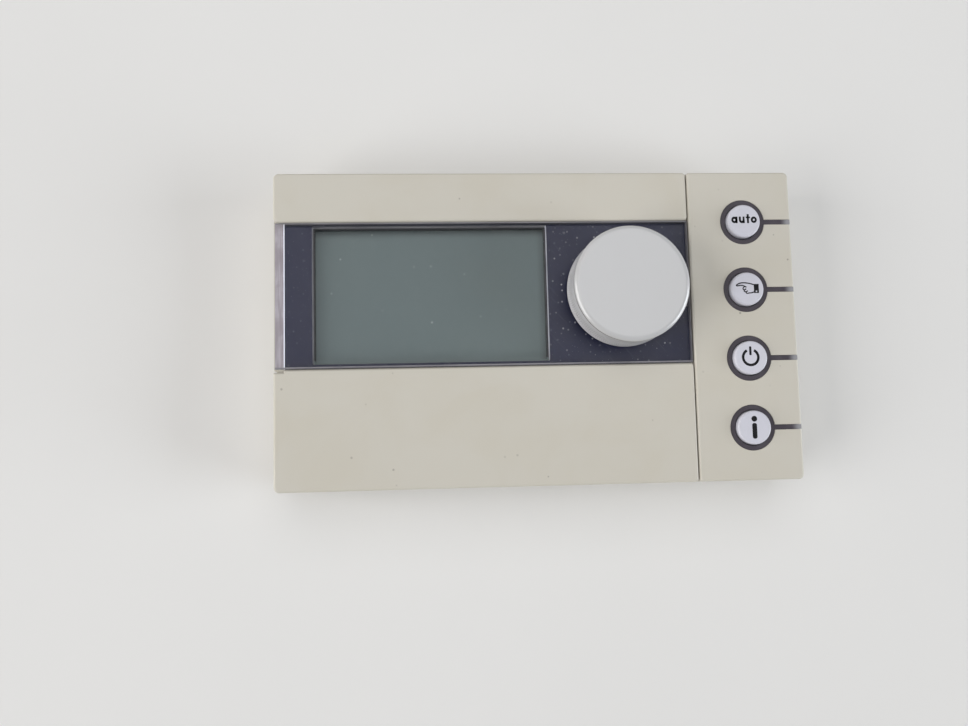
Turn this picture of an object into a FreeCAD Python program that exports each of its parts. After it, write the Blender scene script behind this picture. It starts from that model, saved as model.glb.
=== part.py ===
import FreeCAD, Part
import os
import Sketcher
from FreeCAD import Placement, Rotation, Vector

# Room temperature controller on its wall plate. All sizes in mm.
# The wall is the plane Y = 0 and the front looks towards -Y, so "depth" below is -Y.

doc = FreeCAD.newDocument("room_controller")
sheet = doc.addObject("Spreadsheet::Sheet", "Dimensions")

sizeTable = [
    # Casing
    ("housing_width", 150.0), ("housing_height", 90.0), ("front_depth", 20.0),
    ("corner_radius", 1.5), ("edge_radius", 0.7), ("inner_corner_radius", 0.9),
    ("shell_wall", 2.0), ("rear_line", 4.0), ("cover_thickness", 2.1), ("deck_thickness", 1.8),
    # Allowances: run-out of cuts, root of joined solids, running and seating clearances
    ("overcut", 0.5), ("root", 0.2), ("skin", 0.001), ("seat_gap", 0.3),
    # Front covers
    ("trim_height", 14.2), ("flap_height", 33.9), ("panel_width", 30.5), ("cover_gap", 0.3),
    ("cover_peg_radius", 1.2), ("cover_peg_length", 1.6), ("cover_peg_play", 0.05),
    ("trim_peg_margin", 12.0), ("trim_peg_rise", 6.3), ("panel_peg_inset", 4.2), ("panel_peg_margin", 5.0),
    # Window, mask and display
    ("window_drop", 0.2), ("window_gap", 0.1), ("window_side_gap", 0.2),
    ("mask_thickness", 0.3), ("mask_left_margin", 2.8), ("mask_right_margin", 0.35),
    ("window_bevel", 0.4), ("sight_left_margin", 10.65), ("sight_right_margin", 41.35),
    ("sight_bottom_margin", 1.25), ("sight_top_margin", 0.75), ("sight_step", 1.2), ("step_bevel", 0.35),
    ("bezel_thickness", 0.6), ("bezel_lip", 0.7), ("bezel_band", 3.4),
    ("glass_thickness", 1.1), ("glass_ledge", 2.4), ("contact_ledge", 1.9), ("cell_play", 0.1),
    ("holder_floor", 0.9), ("holder_lip", 3.6),
    ("strip_margin", 4.8), ("strip_width", 1.8), ("strip_inset", 0.8), ("strip_play", 0.1),
    # Knob and encoder
    ("knob_inset", 19.77), ("knob_offset", 0.3), ("knob_diameter", 32.35), ("knob_reach", 12.0),
    ("knob_lift", 0.3), ("knob_wall", 1.6), ("knob_edge", 1.0), ("groove_width", 0.3), ("groove_depth", 0.3),
    ("rim_height", 1.3), ("rim_overhang", 0.2), ("skirt_flare", 0.2),
    ("hub_wall", 1.7), ("hub_sink", 0.6), ("hub_gap", 0.9), ("rib_thickness", 1.2), ("rib_depth", 5.4),
    ("shaft_radius", 3.0), ("shaft_flat", 1.5), ("shaft_play", 0.05), ("shaft_lift", 1.2),
    ("shaft_spare", 0.8),
    ("hub_play", 0.02), ("flat_start", 2.5), ("flat_play", 0.2), ("bush_wall", 0.5), ("bush_length", 3.2),
    ("encoder_width", 12.0), ("encoder_gap", 0.7), ("encoder_bevel", 1.0),
    # Front buttons and light guide
    ("button_inset", 14.5), ("button_end", 15.0), ("button_radius", 4.85), ("button_rise", 1.6),
    ("button_play", 0.3), ("button_wall", 1.2), ("button_roof", 1.6), ("button_edge", 0.6),
    ("stem_radius", 2.0), ("ring_band", 1.35), ("bar_height", 1.35), ("bar_setback", 0.15),
    ("guide_drop", 0.15), ("guide_play", 0.08),
    ("web_thickness", 1.0), ("web_play", 0.15), ("web_inner_margin", 0.8), ("web_outer_margin", 2.2),
    ("web_end_margin", 1.0), ("post_radius", 1.2), ("post_offset", 8.4), ("post_play", 0.2),
    ("flange_width", 1.0), ("flange_thickness", 0.8),
    # Keys behind the flap
    ("bay_side_margin", 5.0), ("bay_bottom_margin", 6.6), ("bay_top_margin", 4.4), ("bay_depth", 3.3),
    ("bay_wall", 1.6), ("key_radius", 4.0), ("key_end", 9.125), ("key_rise", 3.0), ("key_play", 0.25),
    ("key_flange", 0.7), ("key_edge", 0.6),
    # Flap and its hinge
    ("flap_thickness", 1.8), ("flap_gap", 0.3), ("hinge_lift", 1.5), ("hinge_setback", 2.35),
    ("hinge_margin", 12.0), ("lug_width", 4.0), ("lug_radius", 1.3), ("pin_radius", 0.9),
    ("pin_length", 1.8),
    ("pin_play", 0.05), ("lug_play", 0.3), ("cheek", 3.0), ("cheek_lift", 0.2), ("notch_reach", 3.1),
    ("hinge_relief", 1.5), ("flap_chamfer", 0.9), ("pull_width", 2.8), ("pull_height", 0.7),
    ("scoop_width", 1.2), ("scoop_height", 8.5), ("scoop_depth", 4.0), ("tab_margin", 25.0),
    ("tab_drop", 2.4), ("tab_width", 8.0), ("tab_height", 1.0), ("tab_length", 1.4), ("tab_play", 0.3),
    ("tab_swing", 0.5),
    # Board and what is on it
    ("boss_length", 5.5), ("boss_radius", 2.5), ("boss_inset", 3.0),
    ("board_gap", 2.5), ("board_thickness", 1.6), ("board_hole_play", 0.2),
    ("screw_radius", 1.0), ("screw_head_radius", 2.1), ("screw_head", 1.1), ("screw_length", 5.0),
    ("thread_play", 0.03), ("screw_spare", 0.4),
    ("switch_width", 5.2), ("switch_case", 0.55), ("switch_height", 0.8), ("plunger_radius", 1.1),
    ("press_travel", 0.5), ("press_spare", 0.1),
    ("lamp_width", 2.0), ("lamp_height", 1.2), ("lamp_rise", 0.8), ("lamp_gap", 0.4),
    ("chip_x", -40.0), ("chip_z", 2.0), ("chip_width", 12.0), ("chip_rise", 1.1), ("chip_standoff", 0.15),
    ("chip_bevel", 0.3), ("lead_count", 14), ("lead_margin", 0.9), ("lead_width", 0.45), ("lead_reach", 1.0),
    ("lead_rise", 0.35), ("reserve_offset", 8.5), ("reserve_z", -20.0), ("reserve_radius", 3.2),
    ("reserve_rise", 2.6), ("reserve_edge", 0.4), ("sensor_inset", 8.0), ("sensor_lift", 9.5),
    ("sensor_radius", 1.5), ("sensor_rise", 1.3), ("sensor_bevel", 0.4),
    # Rear housing
    ("rear_play", 0.2), ("rear_corner", 1.0), ("skirt_wall", 1.8), ("skirt_gap", 0.6), ("floor_gap", 1.5),
    ("floor_thickness", 1.6), ("hook_x", 45.0), ("hook_width", 8.0), ("hook_thickness", 1.3),
    ("hook_length", 3.4), ("hook_nose", 0.8), ("nose_length", 1.3), ("hook_play", 0.3), ("nose_play", 0.2),
    ("catch_depth", 1.0), ("vent_count", 15), ("vent_pitch", 4.0), ("vent_width", 1.6), ("vent_length", 5.0),
    ("vent_setback", 2.8), ("air_count", 4), ("air_pitch", 3.0), ("air_width", 1.4), ("air_length", 12.0),
    ("dome_wall", 1.4), ("dome_gap", 1.0), ("dome_spare", 0.5), ("dome_clearance", 0.8),
    ("pin_hole_radius", 1.2),
    # Wall plate and terminal block
    ("plate_gap", 0.5), ("plate_thickness", 2.4), ("plate_rim", 1.6), ("plate_corner", 2.0),
    ("plate_tab", 1.4), ("plate_tab_width", 8.0), ("plate_tab_thickness", 1.6), ("plate_tab_lift", 0.2),
    ("plate_tab_play", 0.3), ("wall_screw_spacing", 60.0), ("wall_slot_radius", 2.3),
    ("wall_slot_length", 8.0),
    ("cable_width", 28.0), ("cable_height", 22.0), ("cable_corner", 2.0),
    ("terminal_x", 26.0), ("terminal_drop", 13.0), ("terminal_width", 16.0), ("terminal_height", 8.0),
    ("terminal_rise", 7.6), ("terminal_pitch", 8.0), ("socket_height", 6.5), ("socket_rise", 3.1),
    ("well_radius", 2.1), ("well_depth", 2.6), ("wire_width", 4.0), ("wire_floor", 1.0), ("wire_wall", 1.2),
    ("clamp_gap", 0.1), ("clamp_wall", 0.6), ("clamp_length", 5.2), ("head_play", 0.2), ("head_rise", 1.6),
    ("drive_width", 0.6), ("drive_depth", 0.6), ("pin_drop", 1.2), ("pin_foot_radius", 1.0),
    ("pin_foot", 0.4),
    ("pin_stem_radius", 0.5), ("pin_socket_radius", 0.8), ("pin_socket_depth", 2.2), ("pin_end_gap", 0.5),
]
for row, (alias, number) in enumerate(sizeTable, start=1):
    sheet.set(f"A{row}", alias)
    sheet.set(f"B{row}", str(number))
    sheet.setAlias(f"B{row}", alias)
doc.recompute()


class Size:
    """A size with its number and the sheet expression that drives it."""

    def __init__(self, value, text):
        self.value, self.text = value, text

    def __add__(self, other):
        other = as_size(other)
        return Size(self.value + other.value, f"({self.text} + {other.text})")

    def __sub__(self, other):
        other = as_size(other)
        return Size(self.value - other.value, f"({self.text} - {other.text})")

    def __mul__(self, number):
        other = as_size(number)
        return Size(self.value * other.value, f"({self.text} * {other.text})")

    def __truediv__(self, number):
        other = as_size(number)
        return Size(self.value / other.value, f"({self.text} / {other.text})")

    def __neg__(self):
        return Size(-self.value, f"(0 - {self.text})")


def as_size(number):
    return number if isinstance(number, Size) else Size(float(number), f"({float(number)})")


class Sizes:
    pass


s = Sizes()
for alias, number in sizeTable:
    setattr(s, alias, Size(float(number), f"Dimensions.{alias}"))
zero = as_size(0)


# Sketch and feature helpers

def new_body(name):
    body = doc.addObject("PartDesign::Body", name)
    body.Label = name
    return body


def plane_sketch(body, name, role, base, turn):
    plane = next(item for item in body.Origin.OriginFeatures if item.Role == role)
    sketch = body.newObject("Sketcher::SketchObject", f"{body.Name}_{name}")
    sketch.AttachmentSupport = [(plane, "")]
    sketch.MapMode = "FlatFace"
    base = [as_size(value) for value in base]
    sketch.AttachmentOffset = Placement(Vector(*[value.value for value in base]), turn)
    for axis, value in zip("xyz", base):
        sketch.setExpression(f"AttachmentOffset.Base.{axis}", value.text)
    return sketch


def front_sketch(body, name, left, bottom, depth):
    """Sketch facing the front: local x is X, local y is Z, its normal is the depth direction."""
    return plane_sketch(body, name, "XZ_Plane", (left, bottom, depth), Rotation())


def side_sketch(body, name, x, depth, bottom):
    """Sketch seen from the side: local x is depth, local y is Z, its normal is -X."""
    return plane_sketch(body, name, "YZ_Plane", (-as_size(depth), bottom, x), Rotation(Vector(0, 1, 0), 180))


def top_sketch(body, name, left, depth, z):
    """Sketch seen from above: local x is X, local y is depth, its normal is -Z."""
    return plane_sketch(body, name, "XY_Plane", (left, -as_size(depth), z), Rotation(Vector(1, 0, 0), 180))


def polygon(sketch, points):
    """Closed outline; every corner is held at its own place by the sheet."""
    points = [(as_size(x), as_size(y)) for x, y in points]
    first = sketch.GeometryCount
    count = len(points)
    for index in range(count):
        start, end = points[index], points[(index + 1) % count]
        sketch.addGeometry(Part.LineSegment(Vector(start[0].value, start[1].value, 0),
                                            Vector(end[0].value, end[1].value, 0)))
    for index in range(count):
        sketch.addConstraint(Sketcher.Constraint("Coincident", first + index, 2,
                                                 first + (index + 1) % count, 1))
    for index, (x, y) in enumerate(points):
        hold_point(sketch, first + index, 1, x, y)


def hold_point(sketch, geometry, point, x, y):
    for kind, value, axis in (("DistanceX", x, -2), ("DistanceY", y, -1)):
        if value.value == 0:
            sketch.addConstraint(Sketcher.Constraint("PointOnObject", geometry, point, axis))
            continue
        place = sketch.addConstraint(Sketcher.Constraint(kind, -1, 1, geometry, point, value.value))
        sketch.setExpression(f"Constraints[{place}]", value.text)


def box(sketch, width, height, left=zero, bottom=zero):
    polygon(sketch, [(left, bottom), (left + width, bottom), (left + width, bottom + height),
                     (left, bottom + height)])


def disc(sketch, radius, x=zero, y=zero):
    radius, x, y = as_size(radius), as_size(x), as_size(y)
    circle = sketch.addGeometry(Part.Circle(Vector(x.value, y.value, 0), Vector(0, 0, 1), radius.value))
    hold_point(sketch, circle, 3, x, y)
    place = sketch.addConstraint(Sketcher.Constraint("Radius", circle, radius.value))
    sketch.setExpression(f"Constraints[{place}]", radius.text)


def slot(sketch, radius, reach):
    """Level slot with round ends; its first end has its centre on the sketch's origin."""
    radius, reach = as_size(radius), as_size(reach)
    r, length = radius.value, reach.value
    half = 1.5707963267948966
    sketch.addGeometry(Part.ArcOfCircle(Part.Circle(Vector(0, 0, 0), Vector(0, 0, 1), r), half, 3 * half))
    sketch.addGeometry(Part.LineSegment(Vector(0, -r, 0), Vector(length, -r, 0)))
    sketch.addGeometry(Part.ArcOfCircle(Part.Circle(Vector(length, 0, 0), Vector(0, 0, 1), r), -half, half))
    sketch.addGeometry(Part.LineSegment(Vector(length, r, 0), Vector(0, r, 0)))
    sketch.addConstraint(Sketcher.Constraint("Tangent", 0, 2, 1, 1))
    sketch.addConstraint(Sketcher.Constraint("Tangent", 1, 2, 2, 1))
    sketch.addConstraint(Sketcher.Constraint("Tangent", 2, 2, 3, 1))
    sketch.addConstraint(Sketcher.Constraint("Tangent", 3, 2, 0, 1))
    sketch.addConstraint(Sketcher.Constraint("Coincident", 0, 3, -1, 1))
    sketch.addConstraint(Sketcher.Constraint("PointOnObject", 2, 3, -1))
    for kind, places, value in (("Radius", (0,), radius), ("DistanceX", (-1, 1, 2, 3), reach)):
        place = sketch.addConstraint(Sketcher.Constraint(kind, *places, value.value))
        sketch.setExpression(f"Constraints[{place}]", value.text)


def grow(body, sketch, length, along=True):
    """Pad along the sketch's normal, or against it."""
    feature = body.newObject("PartDesign::Pad", sketch.Name + "_pad")
    feature.Profile = sketch
    feature.setExpression("Length", as_size(length).text)
    feature.Reversed = not along
    doc.recompute()
    return feature


def cut(body, sketch, length, along=True):
    """Pocket along the sketch's normal, or against it."""
    feature = body.newObject("PartDesign::Pocket", sketch.Name + "_cut")
    feature.Profile = sketch
    before = body.Shape.Volume
    feature.setExpression("Length", as_size(length).text)
    feature.Reversed = along
    doc.recompute()
    if body.Shape.Volume > before - 1e-4:
        print("no material removed by", feature.Name)
    return feature


def repeat(body, feature, sketch, axis, span, count):
    pattern = body.newObject("PartDesign::LinearPattern", feature.Name + "_row")
    pattern.Originals = [feature]
    pattern.Direction = (sketch, [axis])
    pattern.setExpression("Length", as_size(span).text)
    pattern.setExpression("Occurrences", as_size(count).text)
    body.Tip = pattern
    doc.recompute()
    return pattern


def turn_profile(body, name, x, z, points):
    """Turned solid about a line in the depth direction; points are (radius, depth)."""
    sketch = top_sketch(body, name, x, zero, z)
    polygon(sketch, points)
    feature = body.newObject("PartDesign::Revolution", sketch.Name + "_turn")
    feature.Profile = sketch
    feature.ReferenceAxis = (sketch, ["V_Axis"])
    feature.Angle = 360
    doc.recompute()
    return feature


def dress(body, kind, size, test):
    """Fillet or chamfer on every edge of the body that the test picks."""
    tip = body.Tip
    names = [f"Edge{index}" for index, edge in enumerate(tip.Shape.Edges, start=1) if test(edge.BoundBox)]
    feature = body.newObject(f"PartDesign::{kind}", f"{body.Name}_{kind.lower()}")
    feature.Base = (tip, names)
    feature.setExpression("Radius" if kind == "Fillet" else "Size", as_size(size).text)
    body.Tip = feature
    doc.recompute()
    if not names:
        print("no edge picked on", body.Name)
    return feature


def near(first, second):
    return abs(first - as_size(second).value) < 1e-4


def deep_edge_at(*places):
    """Edges that run in the depth direction at any of the (x, z) places."""
    def test(bb):
        if bb.XLength > 1e-4 or bb.ZLength > 1e-4:
            return False
        return any(near(bb.XMin, x) and near(bb.ZMin, z) for x, z in places)
    return test


def edge_at_depth(depth):
    """Edges that lie in the plane at one depth."""
    def test(bb):
        return bb.YLength < 1e-4 and near(-bb.YMin, depth)
    return test


def peg(name, x, z, depth, radius, length):
    item = doc.addObject("Part::Cylinder", name)
    item.Placement = Placement(Vector(0, 0, 0), Rotation(Vector(1, 0, 0), 90))
    for path, value in (("Radius", radius), ("Height", length), ("Placement.Base.x", x),
                        ("Placement.Base.y", -as_size(depth)), ("Placement.Base.z", z)):
        item.setExpression(path, as_size(value).text)
    return item


def brick(name, left, bottom, depth, width, height, thick):
    item = doc.addObject("Part::Box", name)
    for path, value in (("Length", width), ("Width", thick), ("Height", height), ("Placement.Base.x", left),
                        ("Placement.Base.y", -(as_size(depth) + thick)), ("Placement.Base.z", bottom)):
        item.setExpression(path, as_size(value).text)
    return item


def joined(name, items):
    item = doc.addObject("Part::MultiFuse", name)
    item.Shapes = items
    return item


def grouped(name, items):
    item = doc.addObject("Part::Compound", name)
    item.Links = items
    item.Label = name
    return item


# Places shared by several pieces

left, right = -s.housing_width / 2, s.housing_width / 2
bottom, top = -s.housing_height / 2, s.housing_height / 2
deckFront = s.front_depth - s.cover_thickness
deckInner = deckFront - s.deck_thickness
panelLeft = right - s.panel_width
leftEnd = panelLeft - s.cover_gap
trimBottom = top - s.trim_height
flapTop = bottom + s.flap_height
flapBack = s.front_depth - s.flap_thickness

windowLeft, windowRight = left + s.window_side_gap, leftEnd - s.window_side_gap / 2
windowBottom, windowTop = flapTop + s.flap_gap, trimBottom - s.window_gap
windowFront = s.front_depth - s.window_drop
maskLeft, maskRight = windowLeft + s.mask_left_margin, windowRight - s.mask_right_margin
sightLeft, sightBottom = left + s.sight_left_margin, windowBottom + s.sight_bottom_margin
sightWidth = leftEnd - s.sight_right_margin - sightLeft
sightHeight = windowTop - s.sight_top_margin - sightBottom
knobX, knobZ = leftEnd - s.knob_inset, (windowBottom + windowTop) / 2 + s.knob_offset
hubRadius = s.shaft_radius + s.hub_wall
hubHole = hubRadius + s.hub_gap
bushRadius = s.shaft_radius + s.bush_wall

boardFront = deckInner - s.boss_length
boardRear = boardFront - s.board_thickness
floorFront = boardRear - s.floor_gap
floorRear = floorFront - s.floor_thickness
pressEnd = boardFront + s.switch_height + s.press_travel + s.press_spare
boardRight = right - s.shell_wall - s.board_gap
boardTop = top - s.shell_wall - s.board_gap
bossX, bossZ = boardRight - s.boss_inset, boardTop - s.boss_inset

buttonX = right - s.button_inset
buttonFirst = bottom + s.button_end
buttonSpan = top - s.button_end - buttonFirst
buttonPitch = buttonSpan / 3
ringBore = s.button_radius + s.button_play
ringRadius = ringBore + s.ring_band

bayLeft, bayRight = left + s.bay_side_margin, leftEnd - s.bay_side_margin
bayBottom, bayTop = bottom + s.bay_bottom_margin, flapTop - s.bay_top_margin
bayFloor = deckFront - s.bay_depth
bayInner = bayFloor - s.bay_wall
keyFirst = bayLeft + s.key_end
keySpan = bayRight - s.key_end - keyFirst
keyPitch = keySpan / 6
keyZ = (bayBottom + bayTop) / 2

hingeZ, hingeDepth = bottom + s.hinge_lift, flapBack - s.hinge_setback
lugCentres = [left + s.hinge_margin, leftEnd - s.hinge_margin]
tabZ = flapTop - s.tab_drop
tabCentres = [left + s.tab_margin, leftEnd - s.tab_margin]
webLeft, webRight = buttonX - ringRadius - s.web_inner_margin, buttonX + s.post_offset + s.web_outer_margin
webBottom = buttonFirst - ringRadius - s.web_end_margin
webTop = buttonFirst + buttonSpan + ringRadius + s.web_end_margin
trimPegs = [left + s.trim_peg_margin, (left + leftEnd) / 2, leftEnd - s.trim_peg_margin]
trimPegZ = trimBottom + s.trim_peg_rise
panelPegX, panelPegZ = panelLeft + s.panel_peg_inset, top - s.panel_peg_margin

finished = {}


# Front housing: the tray whose deck carries every front cover

housing = new_body("front_housing")
sketch = front_sketch(housing, "outline", left, bottom, s.rear_line)
box(sketch, s.housing_width, s.housing_height)
grow(housing, sketch, deckFront - s.rear_line)
outerCorners = [(x, z) for x in (left, right) for z in (bottom, top)]
dress(housing, "Fillet", s.corner_radius, deep_edge_at(*outerCorners))
sketch = front_sketch(housing, "cavity", left + s.shell_wall, bottom + s.shell_wall, s.rear_line)
box(sketch, s.housing_width - s.shell_wall * 2, s.housing_height - s.shell_wall * 2)
cut(housing, sketch, deckInner - s.rear_line)

# Bay behind the flap, with its row of key holes
sketch = front_sketch(housing, "bay_shell", bayLeft - s.bay_wall, bayBottom - s.bay_wall, bayInner)
box(sketch, bayRight - bayLeft + s.bay_wall * 2, bayTop - bayBottom + s.bay_wall * 2)
grow(housing, sketch, deckFront - bayInner)
sketch = front_sketch(housing, "bay", bayLeft, bayBottom, deckFront)
box(sketch, bayRight - bayLeft, bayTop - bayBottom)
cut(housing, sketch, s.bay_depth, along=False)
bayCorners = [(x, z) for x in (bayLeft, bayRight) for z in (bayBottom, bayTop)]
dress(housing, "Fillet", s.corner_radius, deep_edge_at(*bayCorners))
sketch = front_sketch(housing, "key_hole", keyFirst, keyZ, deckFront)
disc(sketch, s.key_radius + s.key_play)
feature = cut(housing, sketch, deckFront - bayInner + s.overcut, along=False)
repeat(housing, feature, sketch, "H_Axis", keySpan, 7)

# Openings for the display, the knob's shaft, the buttons and their light guide
sketch = front_sketch(housing, "sight", sightLeft - s.seat_gap, sightBottom - s.seat_gap, deckFront)
box(sketch, sightWidth + s.seat_gap * 2, sightHeight + s.seat_gap * 2)
cut(housing, sketch, s.deck_thickness + s.overcut, along=False)
sketch = front_sketch(housing, "shaft_hole", knobX, knobZ, deckFront)
disc(sketch, bushRadius + s.seat_gap)
cut(housing, sketch, s.deck_thickness + s.overcut, along=False)
sketch = front_sketch(housing, "web_bed", webLeft - s.web_play, webBottom - s.web_play, deckFront)
box(sketch, webRight - webLeft + s.web_play * 2, webTop - webBottom + s.web_play * 2)
cut(housing, sketch, s.web_thickness, along=False)
sketch = front_sketch(housing, "button_hole", buttonX, buttonFirst, deckFront)
disc(sketch, ringBore)
feature = cut(housing, sketch, s.deck_thickness + s.overcut, along=False)
repeat(housing, feature, sketch, "V_Axis", buttonSpan, 4)
sketch = front_sketch(housing, "post_hole", buttonX + s.post_offset, buttonFirst, deckFront)
disc(sketch, s.post_radius + s.post_play)
feature = cut(housing, sketch, s.deck_thickness + s.overcut, along=False)
repeat(housing, feature, sketch, "V_Axis", buttonSpan, 4)

# Bosses for the board, and holes for the pegs of the covers
sketch = front_sketch(housing, "bosses", -bossX, -bossZ, boardFront)
for x in (zero, bossX * 2):
    for z in (zero, bossZ * 2):
        disc(sketch, s.boss_radius, x, z)
grow(housing, sketch, s.boss_length)
sketch = front_sketch(housing, "boss_bores", -bossX, -bossZ, boardFront)
for x in (zero, bossX * 2):
    for z in (zero, bossZ * 2):
        disc(sketch, s.screw_radius + s.thread_play, x, z)
cut(housing, sketch, s.screw_length - s.board_thickness + s.screw_spare)
sketch = front_sketch(housing, "trim_holes", trimPegs[0], trimPegZ, deckFront)
for x in trimPegs:
    place = x - trimPegs[0] if x is not trimPegs[0] else zero
    disc(sketch, s.cover_peg_radius + s.cover_peg_play, place, zero)
cut(housing, sketch, s.deck_thickness + s.overcut, along=False)
sketch = front_sketch(housing, "panel_holes", panelPegX, -panelPegZ, deckFront)
for z in (zero, panelPegZ, panelPegZ * 2):
    disc(sketch, s.cover_peg_radius + s.cover_peg_play, zero, z)
cut(housing, sketch, s.deck_thickness + s.overcut, along=False)

# Hinge cheeks, notches and bores for the flap, with the lower front edge relieved
for index, centre in enumerate(lugCentres):
    sketch = side_sketch(housing, f"cheek_{index}", centre + s.lug_width / 2 + s.cheek + s.lug_play,
                         hingeDepth - s.notch_reach, bottom + s.cheek_lift)
    box(sketch, deckFront - hingeDepth + s.notch_reach, s.hinge_lift + s.notch_reach)
    grow(housing, sketch, s.lug_width + s.cheek * 2 + s.lug_play * 2)
sketch = side_sketch(housing, "relief", leftEnd, deckFront - s.hinge_relief, bottom - s.skin)
polygon(sketch, [(zero, zero), (s.hinge_relief, zero), (s.hinge_relief, s.hinge_relief)])
cut(housing, sketch, leftEnd - left)
for index, centre in enumerate(lugCentres):
    sketch = side_sketch(housing, f"notch_{index}", centre + s.lug_width / 2 + s.lug_play,
                         hingeDepth - s.notch_reach, bottom - s.overcut)
    box(sketch, deckFront - hingeDepth + s.notch_reach + s.overcut, s.hinge_lift + s.notch_reach + s.overcut)
    cut(housing, sketch, s.lug_width + s.lug_play * 2)
    sketch = side_sketch(housing, f"pin_bore_{index}", centre + s.lug_width / 2 + s.pin_length + s.lug_play,
                         hingeDepth, hingeZ)
    disc(sketch, s.pin_radius + s.pin_play)
    cut(housing, sketch, s.lug_width + s.pin_length * 2 + s.lug_play * 2)

# Slots for the flap's catches, and the finger scoop at the flap's upper left
for index, centre in enumerate(tabCentres):
    sketch = front_sketch(housing, f"catch_slot_{index}", centre - s.tab_width / 2 - s.tab_play,
                          tabZ - s.tab_swing, deckFront)
    box(sketch, s.tab_width + s.tab_play * 2, s.tab_height + s.tab_swing + s.tab_play)
    cut(housing, sketch, s.deck_thickness + s.overcut, along=False)
sketch = front_sketch(housing, "scoop", left - s.overcut, flapTop - s.scoop_height, deckFront)
box(sketch, s.scoop_width + s.overcut, s.scoop_height)
cut(housing, sketch, s.scoop_depth, along=False)

# Vents in the upper and lower walls, and pockets for the rear housing's hooks
ventLeft = -s.vent_pitch * (s.vent_count - 1) / 2
for name, z in (("vent_top", top + s.overcut), ("vent_bottom", bottom + s.shell_wall + s.overcut)):
    sketch = top_sketch(housing, name, ventLeft - s.vent_width / 2, s.rear_line + s.vent_setback, z)
    box(sketch, s.vent_width, s.vent_length)
    feature = cut(housing, sketch, s.shell_wall + s.overcut * 2)
    repeat(housing, feature, sketch, "H_Axis", s.vent_pitch * (s.vent_count - 1), s.vent_count)
noseDepth = floorFront + s.hook_length - s.nose_length
for name, z in (("catch_top", top - s.shell_wall + s.catch_depth),
                ("catch_bottom", bottom + s.shell_wall + s.overcut)):
    for side, x in (("left", -s.hook_x), ("right", s.hook_x)):
        sketch = top_sketch(housing, f"{name}_{side}", x - s.hook_width / 2 - s.hook_play,
                            noseDepth - s.nose_play, z)
        box(sketch, s.hook_width + s.hook_play * 2, s.nose_length + s.nose_play * 2)
        cut(housing, sketch, s.catch_depth + s.overcut)
finished["front_housing"] = housing


# Front covers: top trim and button panel

trim = new_body("top_trim")
sketch = front_sketch(trim, "outline", left, trimBottom, deckFront)
box(sketch, leftEnd - left, s.trim_height)
grow(trim, sketch, s.cover_thickness)
dress(trim, "Fillet", s.corner_radius, deep_edge_at((left, trimBottom), (left, top)))
dress(trim, "Fillet", s.inner_corner_radius, deep_edge_at((leftEnd, trimBottom), (leftEnd, top)))
dress(trim, "Fillet", s.edge_radius, edge_at_depth(s.front_depth))
sketch = front_sketch(trim, "pegs", trimPegs[0], trimPegZ, deckFront)
for x in trimPegs:
    place = x - trimPegs[0] if x is not trimPegs[0] else zero
    disc(sketch, s.cover_peg_radius, place, zero)
grow(trim, sketch, s.cover_peg_length, along=False)
finished["top_trim"] = trim

panel = new_body("button_panel")
sketch = front_sketch(panel, "outline", panelLeft, bottom, deckFront)
box(sketch, s.panel_width, s.housing_height)
grow(panel, sketch, s.cover_thickness)
dress(panel, "Fillet", s.corner_radius, deep_edge_at((right, bottom), (right, top)))
dress(panel, "Fillet", s.inner_corner_radius, deep_edge_at((panelLeft, bottom), (panelLeft, top)))
dress(panel, "Fillet", s.edge_radius, edge_at_depth(s.front_depth))
sketch = front_sketch(panel, "ring_hole", buttonX, buttonFirst, deckFront)
disc(sketch, ringRadius + s.guide_play)
feature = cut(panel, sketch, s.cover_thickness + s.overcut)
repeat(panel, feature, sketch, "V_Axis", buttonSpan, 4)
sketch = front_sketch(panel, "bar_slot", buttonX, buttonFirst - s.bar_height / 2 - s.guide_play, deckFront)
box(sketch, s.button_inset + s.overcut, s.bar_height + s.guide_play * 2)
feature = cut(panel, sketch, s.cover_thickness + s.overcut)
repeat(panel, feature, sketch, "V_Axis", buttonSpan, 4)
sketch = front_sketch(panel, "pegs", panelPegX, -panelPegZ, deckFront)
for z in (zero, panelPegZ, panelPegZ * 2):
    disc(sketch, s.cover_peg_radius, zero, z)
grow(panel, sketch, s.cover_peg_length, along=False)
finished["button_panel"] = panel


# Light guide: web behind the panel, rings round the caps, bars to the right edge, posts to the lamps

guide = new_body("light_guide")
sketch = front_sketch(guide, "web", webLeft, webBottom, deckFront - s.web_thickness)
box(sketch, webRight - webLeft, webTop - webBottom)
grow(guide, sketch, s.web_thickness)
guideRise = s.cover_thickness - s.guide_drop
sketch = front_sketch(guide, "ring", buttonX, buttonFirst, deckFront)
disc(sketch, ringRadius)
feature = grow(guide, sketch, guideRise)
repeat(guide, feature, sketch, "V_Axis", buttonSpan, 4)
sketch = front_sketch(guide, "bar", buttonX, buttonFirst - s.bar_height / 2, deckFront)
box(sketch, s.button_inset - s.bar_setback, s.bar_height)
feature = grow(guide, sketch, guideRise)
repeat(guide, feature, sketch, "V_Axis", buttonSpan, 4)
sketch = front_sketch(guide, "post", buttonX + s.post_offset, buttonFirst, deckFront)
disc(sketch, s.post_radius)
feature = grow(guide, sketch, deckFront - boardFront - s.lamp_rise - s.lamp_gap, along=False)
repeat(guide, feature, sketch, "V_Axis", buttonSpan, 4)
sketch = front_sketch(guide, "bore", buttonX, buttonFirst, s.front_depth)
disc(sketch, ringBore)
feature = cut(guide, sketch, s.cover_thickness + s.web_thickness + s.overcut, along=False)
repeat(guide, feature, sketch, "V_Axis", buttonSpan, 4)
finished["light_guide"] = guide


# Window with a step into the display opening, dark mask behind it

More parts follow.
